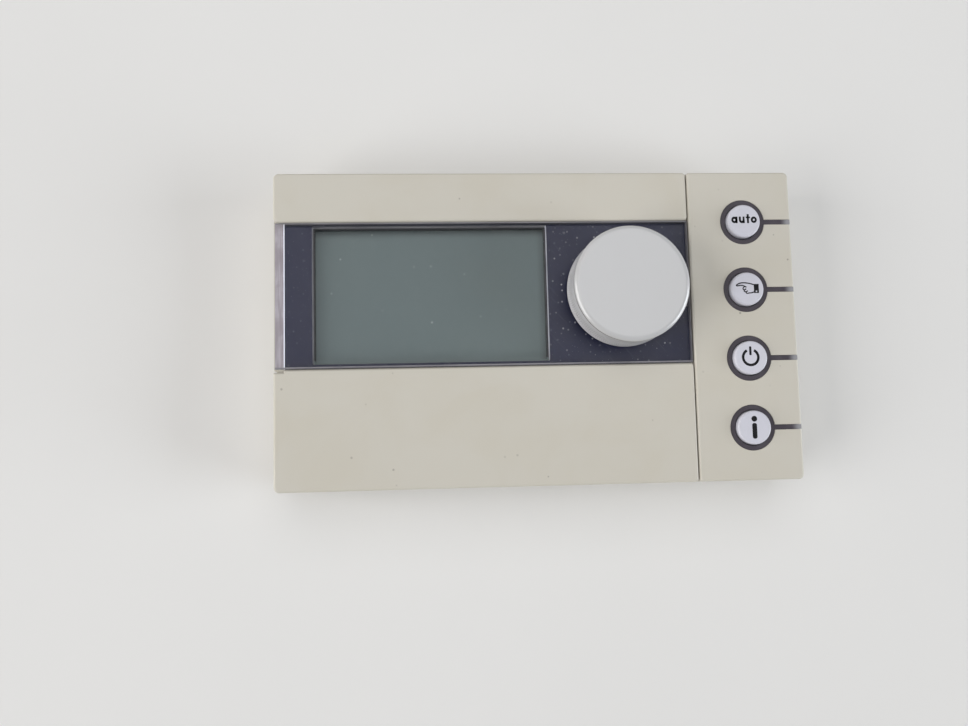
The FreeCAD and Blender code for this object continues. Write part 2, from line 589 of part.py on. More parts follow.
window = new_body("display_window")
sketch = front_sketch(window, "outline", windowLeft, windowBottom, deckFront)
box(sketch, windowRight - windowLeft, windowTop - windowBottom)
grow(window, sketch, windowFront - deckFront)
dress(window, "Chamfer", s.window_bevel, edge_at_depth(windowFront))
sketch = front_sketch(window, "mask_bed", maskLeft, windowBottom - s.overcut, deckFront)
box(sketch, maskRight - maskLeft, windowTop - windowBottom + s.overcut * 2)
box(sketch, sightWidth, sightHeight, sightLeft - maskLeft, sightBottom - windowBottom + s.overcut)
cut(window, sketch, s.mask_thickness)
sketch = front_sketch(window, "step", sightLeft, sightBottom, deckFront - s.sight_step)
box(sketch, sightWidth, sightHeight)
grow(window, sketch, s.sight_step)
dress(window, "Chamfer", s.step_bevel, edge_at_depth(deckFront - s.sight_step))
sketch = front_sketch(window, "hub_hole", knobX, knobZ, deckFront)
disc(sketch, hubHole)
cut(window, sketch, windowFront - deckFront + s.overcut)
finished["display_window"] = window

mask = new_body("display_mask")
sketch = front_sketch(mask, "outline", maskLeft, windowBottom, deckFront)
box(sketch, maskRight - maskLeft, windowTop - windowBottom)
grow(mask, sketch, s.mask_thickness)
sketch = front_sketch(mask, "sight", sightLeft, sightBottom, deckFront)
box(sketch, sightWidth, sightHeight)
cut(mask, sketch, s.mask_thickness + s.overcut)
sketch = front_sketch(mask, "hub_hole", knobX, knobZ, deckFront)
disc(sketch, hubHole)
cut(mask, sketch, s.mask_thickness + s.overcut)
finished["display_mask"] = mask


# Display: bezel, glass cell, holder and the two connector strips

cellLeft, cellBottom = sightLeft - s.glass_ledge, sightBottom - s.glass_ledge
cellWidth, cellHeight = sightWidth + s.glass_ledge * 2, sightHeight + s.glass_ledge * 2
frameLeft, frameBottom = sightLeft - s.bezel_band, sightBottom - s.bezel_band
frameWidth, frameHeight = sightWidth + s.bezel_band * 2, sightHeight + s.bezel_band * 2
cellFront = deckInner - s.bezel_thickness
cellRear = cellFront - s.glass_thickness * 2

bezel = new_body("lcd_bezel")
sketch = front_sketch(bezel, "outline", frameLeft, frameBottom, cellFront)
box(sketch, frameWidth, frameHeight)
grow(bezel, sketch, s.bezel_thickness)
sketch = front_sketch(bezel, "sight", sightLeft + s.bezel_lip, sightBottom + s.bezel_lip, cellFront)
box(sketch, sightWidth - s.bezel_lip * 2, sightHeight - s.bezel_lip * 2)
cut(bezel, sketch, s.bezel_thickness + s.overcut)
finished["lcd_bezel"] = bezel

cell = new_body("lcd_cell")
sketch = front_sketch(cell, "rear_glass", cellLeft, cellBottom, cellRear)
box(sketch, cellWidth, cellHeight)
grow(cell, sketch, s.glass_thickness)
sketch = front_sketch(cell, "front_glass", cellLeft, cellBottom + s.contact_ledge,
                      cellRear + s.glass_thickness)
box(sketch, cellWidth, cellHeight - s.contact_ledge)
grow(cell, sketch, s.glass_thickness)
finished["lcd_cell"] = cell

holder = new_body("lcd_holder")
sketch = front_sketch(holder, "outline", frameLeft, frameBottom, boardFront)
box(sketch, frameWidth, frameHeight)
grow(holder, sketch, cellFront - boardFront)
sketch = front_sketch(holder, "seat", cellLeft - s.cell_play, cellBottom - s.cell_play, cellFront)
box(sketch, cellWidth + s.cell_play * 2, cellHeight + s.cell_play * 2)
cut(holder, sketch, s.glass_thickness * 2, along=False)
sketch = front_sketch(holder, "light_box", cellLeft + s.holder_lip, cellBottom + s.holder_lip, cellRear)
box(sketch, cellWidth - s.holder_lip * 2, cellHeight - s.holder_lip * 2)
cut(holder, sketch, cellRear - boardFront - s.holder_floor, along=False)
stripLeft = sightLeft + s.strip_margin
stripLength = sightWidth - s.strip_margin * 2
stripLow = cellBottom + s.strip_inset
stripHigh = cellBottom + cellHeight - s.strip_inset - s.strip_width
for name, z in (("slot_low", stripLow), ("slot_high", stripHigh)):
    sketch = front_sketch(holder, name, stripLeft - s.strip_play, z - s.strip_play, cellRear)
    box(sketch, stripLength + s.strip_play * 2, s.strip_width + s.strip_play * 2)
    cut(holder, sketch, cellRear - boardFront + s.overcut, along=False)
finished["lcd_holder"] = holder

strips = []
for name, z in (("low", stripLow), ("high", stripHigh)):
    strips.append(brick(f"strip_{name}", stripLeft, z, boardFront, stripLength, s.strip_width,
                        cellRear - boardFront))
finished["lcd_connectors"] = grouped("lcd_connectors", strips)


# Setting knob: turned shell with a hub, ribs inside, and a flat in the hub's bore

knobFront = s.front_depth + s.knob_reach
knobRear = s.front_depth + s.knob_lift
knobRadius = s.knob_diameter / 2
grooveTop = knobFront - s.rim_height
skirtRadius, skirtFoot = knobRadius - s.rim_overhang, knobRadius + s.skirt_flare
grooveRadius = skirtRadius - s.groove_depth
knobInner = skirtRadius - s.knob_wall
roof = knobFront - s.knob_wall
hubRear = windowFront - s.hub_sink

knob = new_body("setting_knob")
turn_profile(knob, "shell", knobX, knobZ, [
    (zero, knobFront), (knobRadius, knobFront), (knobRadius, grooveTop),
    (grooveRadius, grooveTop), (grooveRadius, grooveTop - s.groove_width),
    (skirtRadius, grooveTop - s.groove_width), (skirtFoot, knobRear), (knobInner, knobRear),
    (knobInner, roof), (hubRadius, roof), (hubRadius, hubRear), (zero, hubRear)])
dress(knob, "Fillet", s.knob_edge,
      lambda bb: edge_at_depth(knobFront)(bb) and near(bb.XLength, s.knob_diameter))
sketch = front_sketch(knob, "rib", knobX + hubRadius - s.root, knobZ - s.rib_thickness / 2, roof)
box(sketch, knobInner - hubRadius + s.root * 2, s.rib_thickness)
rib = grow(knob, sketch, s.rib_depth, along=False)
sketch = front_sketch(knob, "axis", knobX, knobZ, roof)
disc(sketch, hubRadius)
ribs = knob.newObject("PartDesign::PolarPattern", "knob_ribs")
ribs.Originals = [rib]
ribs.Axis = (sketch, ["N_Axis"])
ribs.Angle = 360
ribs.Occurrences = 6
knob.Tip = ribs
doc.recompute()
shaftEnd = roof - s.shaft_spare
sketch = front_sketch(knob, "bore", knobX, knobZ, hubRear)
disc(sketch, s.shaft_radius + s.hub_play)
cut(knob, sketch, shaftEnd - hubRear + s.seat_gap)
sketch = front_sketch(knob, "bore_flat", knobX - s.shaft_radius, knobZ + s.shaft_flat + s.hub_play,
                      hubRear + s.flat_start)
box(sketch, s.shaft_radius * 2, s.shaft_radius - s.shaft_flat + s.hub_wall / 2)
grow(knob, sketch, shaftEnd + s.seat_gap - hubRear - s.flat_start)
finished["setting_knob"] = knob

shaft = new_body("encoder_shaft")
shaftStart = boardFront + s.shaft_lift
sketch = front_sketch(shaft, "round", knobX, knobZ, shaftStart)
disc(sketch, s.shaft_radius)
grow(shaft, sketch, shaftEnd - shaftStart)
sketch = front_sketch(shaft, "flat", knobX - s.shaft_radius, knobZ + s.shaft_flat, shaftEnd)
box(sketch, s.shaft_radius * 2, s.shaft_radius)
cut(shaft, sketch, shaftEnd - hubRear - s.flat_start + s.flat_play, along=False)
finished["encoder_shaft"] = shaft

encoder = new_body("encoder_body")
encoderFront = deckInner - s.encoder_gap
half = s.encoder_width / 2
sketch = front_sketch(encoder, "case", knobX - half, knobZ - half, boardFront)
box(sketch, s.encoder_width, s.encoder_width)
grow(encoder, sketch, encoderFront - boardFront)
caseCorners = [(knobX + x, knobZ + z) for x in (-half, half) for z in (-half, half)]
dress(encoder, "Chamfer", s.encoder_bevel, deep_edge_at(*caseCorners))
sketch = front_sketch(encoder, "bush", knobX, knobZ, encoderFront)
disc(sketch, bushRadius)
grow(encoder, sketch, s.bush_length)
sketch = front_sketch(encoder, "bore", knobX, knobZ, encoderFront + s.bush_length)
disc(sketch, s.shaft_radius + s.shaft_play)
cut(encoder, sketch, encoderFront + s.bush_length - shaftStart + s.shaft_play, along=False)
finished["encoder_body"] = encoder


# Front buttons and the keys behind the flap, all turned

buttonFront = s.front_depth + s.button_rise
flangeFront = deckInner - s.seat_gap
flangeRear = flangeFront - s.flange_thickness
buttonInner, buttonRoof = s.button_radius - s.button_wall, buttonFront - s.button_roof
buttonNames = ["info_button", "standby_button", "manual_button", "auto_button"]
for index, name in enumerate(buttonNames):
    body = new_body(name)
    z = buttonFirst + buttonPitch * index
    turn_profile(body, "cap", buttonX, z, [
        (zero, buttonFront), (s.button_radius, buttonFront), (s.button_radius, flangeFront),
        (ringBore + s.flange_width, flangeFront), (ringBore + s.flange_width, flangeRear),
        (buttonInner, flangeRear), (buttonInner, buttonRoof),
        (s.stem_radius, buttonRoof), (s.stem_radius, pressEnd), (zero, pressEnd)])
    dress(body, "Fillet", s.button_edge, edge_at_depth(buttonFront))
    finished[name] = body

keyFront = bayFloor + s.key_rise
keyFlange = bayInner - s.seat_gap
for index in range(7):
    body = new_body(f"service_key_{index + 1}")
    turn_profile(body, "cap", keyFirst + keyPitch * index, keyZ, [
        (zero, keyFront), (s.key_radius, keyFront), (s.key_radius, keyFlange),
        (s.key_radius + s.key_play + s.key_flange, keyFlange),
        (s.key_radius + s.key_play + s.key_flange, pressEnd), (zero, pressEnd)])
    dress(body, "Fillet", s.key_edge, edge_at_depth(keyFront))
    finished[f"service_key_{index + 1}"] = body


# Flap: plate with hinge lugs, pins, catches and the pull notch

flap = new_body("control_flap")
sketch = front_sketch(flap, "outline", left, bottom, flapBack)
box(sketch, leftEnd - left, s.flap_height)
grow(flap, sketch, s.flap_thickness)
dress(flap, "Fillet", s.corner_radius, deep_edge_at((left, bottom)))
dress(flap, "Fillet", s.inner_corner_radius, deep_edge_at((leftEnd, bottom), (leftEnd, flapTop)))
sketch = front_sketch(flap, "pull", left - s.overcut, flapTop - s.pull_height, flapBack)
box(sketch, s.pull_width + s.overcut, s.pull_height + s.overcut)
cut(flap, sketch, s.flap_thickness + s.overcut)
dress(flap, "Fillet", s.edge_radius, edge_at_depth(s.front_depth))
sketch = side_sketch(flap, "relief", leftEnd + s.overcut, flapBack - s.skin, bottom - s.skin)
polygon(sketch, [(zero, zero), (s.flap_chamfer, zero), (zero, s.flap_chamfer)])
cut(flap, sketch, leftEnd - left + s.overcut * 2)
for index, centre in enumerate(lugCentres):
    sketch = side_sketch(flap, f"lug_{index}", centre + s.lug_width / 2, hingeDepth - s.lug_radius,
                         hingeZ - s.lug_radius)
    box(sketch, s.hinge_setback + s.lug_radius + s.root, s.lug_radius * 2)
    grow(flap, sketch, s.lug_width)
lugRear = hingeDepth - s.lug_radius
dress(flap, "Fillet", s.lug_radius - s.pin_play,
      lambda bb: edge_at_depth(lugRear)(bb) and near(bb.XLength, s.lug_width))
for index, centre in enumerate(lugCentres):
    sketch = side_sketch(flap, f"pin_{index}", centre + s.lug_width / 2 + s.pin_length, hingeDepth, hingeZ)
    disc(sketch, s.pin_radius)
    grow(flap, sketch, s.lug_width + s.pin_length * 2)
for index, centre in enumerate(tabCentres):
    sketch = front_sketch(flap, f"tab_{index}", centre - s.tab_width / 2, tabZ, flapBack + s.root)
    box(sketch, s.tab_width, s.tab_height)
    grow(flap, sketch, s.tab_length + s.root, along=False)
finished["control_flap"] = flap


# Circuit board with its screws, switches, lamps and chips

board = new_body("circuit_board")
sketch = front_sketch(board, "outline", -boardRight, -boardTop, boardRear)
box(sketch, boardRight * 2, boardTop * 2)
grow(board, sketch, s.board_thickness)
boardCorners = [(x, z) for x in (-boardRight, boardRight) for z in (-boardTop, boardTop)]
dress(board, "Fillet", s.corner_radius, deep_edge_at(*boardCorners))
sketch = front_sketch(board, "screw_holes", -bossX, -bossZ, boardRear)
for x in (zero, bossX * 2):
    for z in (zero, bossZ * 2):
        disc(sketch, s.screw_radius + s.board_hole_play, x, z)
cut(board, sketch, s.board_thickness + s.overcut)
rearTop = top - s.shell_wall - s.rear_play
plateTop = rearTop - s.skirt_wall - s.plate_gap
terminalZ = plateTop - s.terminal_drop
domeMargin = s.dome_wall + s.dome_gap
domeLeft = s.terminal_x - s.terminal_width / 2 - domeMargin
domeBottom = terminalZ - s.terminal_height / 2 - domeMargin
domeWidth, domeHeight = s.terminal_width + domeMargin * 2, s.terminal_height + domeMargin * 2
sketch = front_sketch(board, "terminal_notch", domeLeft - s.dome_clearance, domeBottom - s.dome_clearance,
                      boardRear)
box(sketch, domeWidth + s.dome_clearance * 2, boardTop - domeBottom + s.dome_clearance + s.overcut)
cut(board, sketch, s.board_thickness + s.overcut)
finished["circuit_board"] = board

screws = []
for index, (x, z) in enumerate([(x, z) for x in (-bossX, bossX) for z in (-bossZ, bossZ)]):
    head = peg(f"screw_head_{index}", x, z, boardRear - s.screw_head, s.screw_head_radius, s.screw_head)
    shank = peg(f"screw_shank_{index}", x, z, boardRear, s.screw_radius, s.screw_length)
    screws.append(joined(f"board_screw_{index}", [head, shank]))
finished["board_screws"] = grouped("board_screws", screws)

switchPlaces = [(buttonX, buttonFirst + buttonPitch * index) for index in range(4)]
switchPlaces += [(keyFirst + keyPitch * index, keyZ) for index in range(7)]
switches = []
for index, (x, z) in enumerate(switchPlaces):
    case = brick(f"switch_case_{index}", x - s.switch_width / 2, z - s.switch_width / 2, boardFront,
                 s.switch_width, s.switch_width, s.switch_case)
    plunger = peg(f"switch_plunger_{index}", x, z, boardFront, s.plunger_radius, s.switch_height)
    switches.append(joined(f"switch_{index}", [case, plunger]))
finished["key_switches"] = grouped("key_switches", switches)

lamps = []
for index in range(4):
    lamps.append(brick(f"lamp_{index}", buttonX + s.post_offset - s.lamp_width / 2,
                       buttonFirst + buttonPitch * index - s.lamp_height / 2, boardFront,
                       s.lamp_width, s.lamp_height, s.lamp_rise))
finished["indicator_leds"] = grouped("indicator_leds", lamps)

chip = new_body("controller_chip")
sketch = front_sketch(chip, "case", s.chip_x, s.chip_z, boardRear - s.chip_rise)
box(sketch, s.chip_width, s.chip_width)
grow(chip, sketch, s.chip_rise - s.chip_standoff)
dress(chip, "Chamfer", s.chip_bevel, edge_at_depth(boardRear - s.chip_rise))
sketch = front_sketch(chip, "lead", s.chip_x + s.lead_margin, s.chip_z - s.lead_reach,
                      boardRear - s.lead_rise)
box(sketch, s.lead_width, s.chip_width + s.lead_reach * 2)
feature = grow(chip, sketch, s.lead_rise)
repeat(chip, feature, sketch, "H_Axis", s.chip_width - s.lead_margin * 2 - s.lead_width, s.lead_count)
finished["controller_chip"] = chip

reserve = new_body("reserve_capacitor")
reserveFront = boardFront + s.reserve_rise
turn_profile(reserve, "can", buttonX - s.reserve_offset, s.reserve_z, [
    (zero, boardFront), (s.reserve_radius, boardFront), (s.reserve_radius, reserveFront),
    (zero, reserveFront)])
dress(reserve, "Fillet", s.reserve_edge, edge_at_depth(reserveFront))
finished["reserve_capacitor"] = reserve

sensor = new_body("temperature_sensor")
sensorX, sensorZ = -boardRight + s.sensor_inset, -boardTop + s.sensor_lift
sensorRear = boardRear - s.sensor_rise
turn_profile(sensor, "bead", sensorX, sensorZ, [
    (zero, sensorRear), (s.sensor_radius - s.sensor_bevel, sensorRear),
    (s.sensor_radius, sensorRear + s.sensor_bevel), (s.sensor_radius, boardRear), (zero, boardRear)])
finished["temperature_sensor"] = sensor


# Rear housing: tray that closes the back, domed over the terminal block

rear = new_body("rear_housing")
rearRight = right - s.shell_wall - s.rear_play
sketch = front_sketch(rear, "outline", -rearRight, -rearTop, s.skirt_gap)
box(sketch, rearRight * 2, rearTop * 2)
grow(rear, sketch, floorFront - s.skirt_gap)
rearCorners = [(x, z) for x in (-rearRight, rearRight) for z in (-rearTop, rearTop)]
dress(rear, "Fillet", s.rear_corner, deep_edge_at(*rearCorners))
domeFront = s.plate_thickness + s.terminal_rise + s.dome_spare + s.dome_wall
sketch = front_sketch(rear, "dome", domeLeft, domeBottom, floorRear)
box(sketch, domeWidth, domeHeight)
grow(rear, sketch, domeFront - floorRear)
sketch = front_sketch(rear, "recess", -rearRight + s.skirt_wall, -rearTop + s.skirt_wall, s.skirt_gap)
box(sketch, (rearRight - s.skirt_wall) * 2, (rearTop - s.skirt_wall) * 2)
cut(rear, sketch, floorRear - s.skirt_gap)
sketch = front_sketch(rear, "dome_inside", domeLeft + s.dome_wall, domeBottom + s.dome_wall, floorRear)
box(sketch, domeWidth - s.dome_wall * 2, domeHeight - s.dome_wall * 2)
cut(rear, sketch, domeFront - floorRear - s.dome_wall)
pinZ = terminalZ - s.terminal_height / 2 - s.socket_height / 2 - s.pin_drop
sketch = front_sketch(rear, "pin_holes", s.terminal_x - s.terminal_pitch / 2, pinZ, floorRear)
disc(sketch, s.pin_hole_radius)
disc(sketch, s.pin_hole_radius, s.terminal_pitch, zero)
cut(rear, sketch, s.floor_thickness + s.overcut)
airSpan = s.air_pitch * (s.air_count - 1)
sketch = front_sketch(rear, "air_slot", sensorX - (airSpan + s.air_width) / 2, sensorZ - s.air_length / 2,
                      floorRear)
box(sketch, s.air_width, s.air_length)
feature = cut(rear, sketch, s.floor_thickness + s.overcut)
repeat(rear, feature, sketch, "H_Axis", airSpan, s.air_count)

# Hooks into the front housing, and windows for the wall plate's tabs
for name, z, nose in (("hook_top", rearTop - s.hook_thickness, rearTop - s.root),
                      ("hook_bottom", -rearTop, -rearTop - s.hook_nose)):
    for side, x in (("left", -s.hook_x), ("right", s.hook_x)):
        sketch = front_sketch(rear, f"{name}_{side}", x - s.hook_width / 2, z, floorFront - s.root)
        box(sketch, s.hook_width, s.hook_thickness)
        grow(rear, sketch, s.hook_length + s.root)
        sketch = front_sketch(rear, f"{name}_{side}_nose", x - s.hook_width / 2, nose, noseDepth)
        box(sketch, s.hook_width, s.hook_nose + s.root)
        grow(rear, sketch, s.nose_length)
tabDepth = s.plate_thickness + s.plate_tab_lift
tabHalf = s.plate_tab_width / 2 + s.plate_tab_play
upper, lower = rearTop + s.overcut, -rearTop + s.skirt_wall + s.overcut
for name, x, z in (("tab_left", -s.hook_x, upper), ("tab_right", s.hook_x, upper), ("tab_low", zero, lower)):
    sketch = top_sketch(rear, name, x - tabHalf, tabDepth - s.plate_tab_play, z)
    box(sketch, tabHalf * 2, s.plate_tab_thickness + s.plate_tab_play * 2)
    cut(rear, sketch, s.skirt_wall + s.overcut * 2)
finished["rear_housing"] = rear


# Wall plate with its terminal block

plate = new_body("wall_plate")
plateRight = rearRight - s.skirt_wall - s.plate_gap
sketch = front_sketch(plate, "outline", -plateRight, -plateTop, zero)
box(sketch, plateRight * 2, plateTop * 2)
grow(plate, sketch, floorRear)
plateCorners = [(x, z) for x in (-plateRight, plateRight) for z in (-plateTop, plateTop)]
dress(plate, "Fillet", s.plate_corner, deep_edge_at(*plateCorners))
sketch = front_sketch(plate, "inside", -plateRight + s.plate_rim, -plateTop + s.plate_rim, floorRear)
box(sketch, (plateRight - s.plate_rim) * 2, (plateTop - s.plate_rim) * 2)
cut(plate, sketch, floorRear - s.plate_thickness, along=False)
sketch = front_sketch(plate, "cable", -s.cable_width / 2, -s.cable_height / 2, zero)
box(sketch, s.cable_width, s.cable_height)
cut(plate, sketch, s.plate_thickness + s.overcut)
cableCorners = [(x, z) for x in (-s.cable_width / 2, s.cable_width / 2)
                for z in (-s.cable_height / 2, s.cable_height / 2)]
dress(plate, "Fillet", s.cable_corner, deep_edge_at(*cableCorners))
slotReach = s.wall_slot_length - s.wall_slot_radius * 2
for side, x in (("left", -s.wall_screw_spacing / 2), ("right", s.wall_screw_spacing / 2)):
    sketch = front_sketch(plate, f"slot_{side}", x - slotReach / 2, zero, zero)
    slot(sketch, s.wall_slot_radius, slotReach)
    cut(plate, sketch, s.plate_thickness + s.overcut)
sketch = front_sketch(plate, "round_holes", zero, -s.wall_screw_spacing / 2, zero)
disc(sketch, s.wall_slot_radius)
disc(sketch, s.wall_slot_radius, zero, s.wall_screw_spacing)
cut(plate, sketch, s.plate_thickness + s.overcut)
for name, x, z in (("tab_left", -s.hook_x, plateTop - s.root), ("tab_right", s.hook_x, plateTop - s.root),
                   ("tab_low", zero, -plateTop - s.plate_tab)):
    sketch = front_sketch(plate, name, x - s.plate_tab_width / 2, z, tabDepth)
    box(sketch, s.plate_tab_width, s.plate_tab + s.root)
    grow(plate, sketch, s.plate_tab_thickness)
finished["wall_plate"] = plate

block = new_body("terminal_block")
blockLeft, blockBottom = s.terminal_x - s.terminal_width / 2, terminalZ - s.terminal_height / 2
blockFront = s.plate_thickness + s.terminal_rise
wellFloor = blockFront - s.well_depth
wireRear = s.plate_thickness + s.wire_floor
wireHeight = wellFloor - wireRear
poleX = s.terminal_x - s.terminal_pitch / 2
sketch = front_sketch(block, "case", blockLeft, blockBottom, s.plate_thickness)
box(sketch, s.terminal_width, s.terminal_height)
grow(block, sketch, s.terminal_rise)
sketch = front_sketch(block, "socket", blockLeft, blockBottom - s.socket_height, s.plate_thickness)
box(sketch, s.terminal_width, s.socket_height + s.root)
grow(block, sketch, s.socket_rise)
sketch = front_sketch(block, "screw_wells", poleX, terminalZ, blockFront)
disc(sketch, s.well_radius)
disc(sketch, s.well_radius, s.terminal_pitch, zero)
cut(block, sketch, s.well_depth, along=False)
sketch = top_sketch(block, "wire_holes", poleX - s.wire_width / 2, wireRear,
                    terminalZ + s.terminal_height / 2)
box(sketch, s.wire_width, wireHeight)
feature = cut(block, sketch, s.terminal_height - s.wire_wall)
repeat(block, feature, sketch, "H_Axis", s.terminal_pitch, 2)
sketch = front_sketch(block, "pin_sockets", poleX, pinZ, s.plate_thickness + s.socket_rise)
disc(sketch, s.pin_socket_radius)
disc(sketch, s.pin_socket_radius, s.terminal_pitch, zero)
cut(block, sketch, s.pin_socket_depth, along=False)
finished["terminal_block"] = block

clampRear, clampHeight = wireRear + s.clamp_gap, wireHeight - s.clamp_gap * 2
clampWidth, clampBottom = s.wire_width - s.clamp_gap * 2, terminalZ - s.clamp_length / 2
headRadius = s.well_radius - s.head_play
clamps, terminalScrews = [], []
for index in range(2):
    x = poleX + s.terminal_pitch * index
    outer = brick(f"clamp_outer_{index}", x - clampWidth / 2, clampBottom, clampRear, clampWidth,
                  s.clamp_length, clampHeight)
    inner = brick(f"clamp_inner_{index}", x - clampWidth / 2 + s.clamp_wall, clampBottom - s.root,
                  clampRear + s.clamp_wall, clampWidth - s.clamp_wall * 2, s.clamp_length + s.root * 2,
                  clampHeight - s.clamp_wall * 2)
    clamp = doc.addObject("Part::Cut", f"clamp_{index}")
    clamp.Base, clamp.Tool = outer, inner
    clamps.append(clamp)
    head = peg(f"terminal_head_{index}", x, terminalZ, wellFloor, headRadius, s.head_rise)
    groove = brick(f"terminal_groove_{index}", x - s.well_radius, terminalZ - s.drive_width / 2,
                   wellFloor + s.head_rise - s.drive_depth, s.well_radius * 2, s.drive_width,
                   s.drive_depth + s.root)
    item = doc.addObject("Part::Cut", f"terminal_screw_{index}")
    item.Base, item.Tool = head, groove
    terminalScrews.append(item)
finished["terminal_clamps"] = grouped("terminal_clamps", clamps)
finished["terminal_screws"] = grouped("terminal_screws", terminalScrews)

pinEnd = s.plate_thickness + s.socket_rise - s.pin_socket_depth + s.pin_end_gap
pins = []
for index in range(2):
    x = poleX + s.terminal_pitch * index
    foot = peg(f"pin_foot_{index}", x, pinZ, boardRear - s.pin_foot, s.pin_foot_radius, s.pin_foot)
    stem = peg(f"pin_stem_{index}", x, pinZ, pinEnd, s.pin_stem_radius, boardRear - pinEnd)
    pins.append(joined(f"bus_pin_{index}", [foot, stem]))
finished["bus_pins"] = grouped("bus_pins", pins)


# Check every object, then write one file for each piece

doc.recompute()
for item in doc.Objects:
    if any(word in item.State for word in ("Invalid", "Error", "Touched")):
        print("state", item.Name, item.State)
os.makedirs("parts", exist_ok=True)
for name, item in finished.items():
    shape = item.Shape
    if shape.isNull() or not shape.isValid():
        print("bad shape", name)
    if item.TypeId == "PartDesign::Body" and len(shape.Solids) != 1:
        print("solids in", name, len(shape.Solids))
    shape.exportStep(f"parts/{name}.step")
print("pieces", len(finished))
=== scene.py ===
import bmesh
import bpy
import math
from mathutils import Matrix, Vector


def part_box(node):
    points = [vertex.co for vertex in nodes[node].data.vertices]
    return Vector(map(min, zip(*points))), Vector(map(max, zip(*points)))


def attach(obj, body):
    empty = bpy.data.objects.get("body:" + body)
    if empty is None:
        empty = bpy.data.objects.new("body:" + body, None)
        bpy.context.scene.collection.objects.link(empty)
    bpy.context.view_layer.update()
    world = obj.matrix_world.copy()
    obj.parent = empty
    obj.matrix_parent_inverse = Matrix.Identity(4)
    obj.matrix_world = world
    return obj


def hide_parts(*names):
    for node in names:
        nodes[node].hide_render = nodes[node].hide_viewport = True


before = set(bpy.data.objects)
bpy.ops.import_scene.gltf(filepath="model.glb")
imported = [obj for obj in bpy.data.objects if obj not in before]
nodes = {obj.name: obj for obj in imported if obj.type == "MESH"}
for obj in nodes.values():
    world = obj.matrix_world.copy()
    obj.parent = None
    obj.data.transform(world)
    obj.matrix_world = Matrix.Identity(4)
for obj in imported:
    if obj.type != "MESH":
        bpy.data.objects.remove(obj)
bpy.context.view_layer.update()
mm = 0.001  # sizes are written in millimetres and brought to metres with this
touch = 1e-6  # metres; what lies closer than this counts as the same place

scene = bpy.context.scene
scene.view_settings.view_transform = "Standard"
print("frame loaded,", len(nodes), "solids")


# helpers for working on one object at a time

def clearSelection():
    if bpy.context.object and bpy.context.object.mode != "OBJECT":
        bpy.ops.object.mode_set(mode="OBJECT")
    bpy.ops.object.select_all(action="DESELECT")


def takeNew(name):
    piece = bpy.context.object
    piece.name = name
    piece.data.name = name
    return piece


def useAlone(piece):
    clearSelection()
    piece.select_set(True)
    bpy.context.view_layer.objects.active = piece


def startEdit(piece):
    useAlone(piece)
    bpy.ops.object.mode_set(mode="EDIT")


def endEdit():
    bpy.ops.object.mode_set(mode="OBJECT")


def pickAll():
    bpy.ops.mesh.select_all(action="SELECT")


def pick(piece, kind, test):
    bpy.ops.mesh.select_mode(type=kind)
    bpy.ops.mesh.select_all(action="DESELECT")
    mesh = bmesh.from_edit_mesh(piece.data)
    mesh.normal_update()
    group = {"VERT": mesh.verts, "EDGE": mesh.edges, "FACE": mesh.faces}[kind]
    for item in group:
        if test(item):
            item.select_set(True)
    mesh.select_flush_mode()
    bmesh.update_edit_mesh(piece.data)


def pushOut(*step):
    bpy.ops.mesh.extrude_region_move(TRANSFORM_OT_translate={"value": step})


def settle(piece):
    useAlone(piece)
    bpy.ops.object.transform_apply(location=True, rotation=True, scale=True)


def useModifier(piece, kind, **values):
    useAlone(piece)
    modifier = piece.modifiers.new(kind.lower(), kind)
    for key, value in values.items():
        setattr(modifier, key, value)
    bpy.ops.object.modifier_apply(modifier=modifier.name)


def addBlock(name, low, high):
    clearSelection()
    middle = [(a + b) / 2 for a, b in zip(low, high)]
    bpy.ops.mesh.primitive_cube_add(size=1, location=middle)
    block = takeNew(name)
    block.scale = [b - a for a, b in zip(low, high)]
    settle(block)
    return block


def merge(piece, tool, how):
    useModifier(piece, "BOOLEAN", object=tool, operation=how, solver="EXACT")
    bpy.data.objects.remove(tool)


def smooth(piece):
    # the heavy weight keeps the flats flat beside their bevels
    shading = {"sharpOver": math.radians(30), "flatWeight": 90}
    useAlone(piece)
    bpy.ops.object.shade_smooth_by_angle(angle=shading["sharpOver"])
    useModifier(piece, "WEIGHTED_NORMAL", keep_sharp=True, weight=shading["flatWeight"])


def dressWith(piece, *materials):
    piece.data.materials.clear()
    for material in materials:
        piece.data.materials.append(material)


# helpers for building node trees

def addNode(tree, kind, links=None, **settings):
    node = tree.nodes.new(kind)
    for key, value in settings.items():
        setattr(node, key, value)
    for key, source in (links or {}).items():
        if isinstance(source, bpy.types.NodeSocket):
            tree.links.new(source, node.inputs[key])
        else:
            node.inputs[key].default_value = source
    return node


def mathNode(tree, operation, *values, clamp=False):
    links = dict(enumerate(values))
    node = addNode(tree, "ShaderNodeMath", links, operation=operation, use_clamp=clamp)
    return node.outputs[0]


def vectorNode(tree, operation, *values):
    links = dict(enumerate(values))
    return addNode(tree, "ShaderNodeVectorMath", links, operation=operation).outputs


def remap(tree, value, low, high, toLow=0.0, toHigh=1.0):
    links = {"Value": value, "From Min": low, "From Max": high, "To Min": toLow, "To Max": toHigh}
    node = addNode(tree, "ShaderNodeMapRange", links, interpolation_type="SMOOTHSTEP")
    return node.outputs["Result"]


def opaque(colour):
    # a written colour gets its fourth number, a socket stays as it is
    return colour if isinstance(colour, bpy.types.NodeSocket) else colour + (1.0,)


def blendColour(tree, share, first, second):
    links = {0: share, 6: opaque(first), 7: opaque(second)}
    return addNode(tree, "ShaderNodeMix", links, data_type="RGBA").outputs[2]


def axesOf(tree, place):
    return addNode(tree, "ShaderNodeSeparateXYZ", {"Vector": place}).outputs


# shared effects, each one a node group that takes a place and some numbers and gives one number

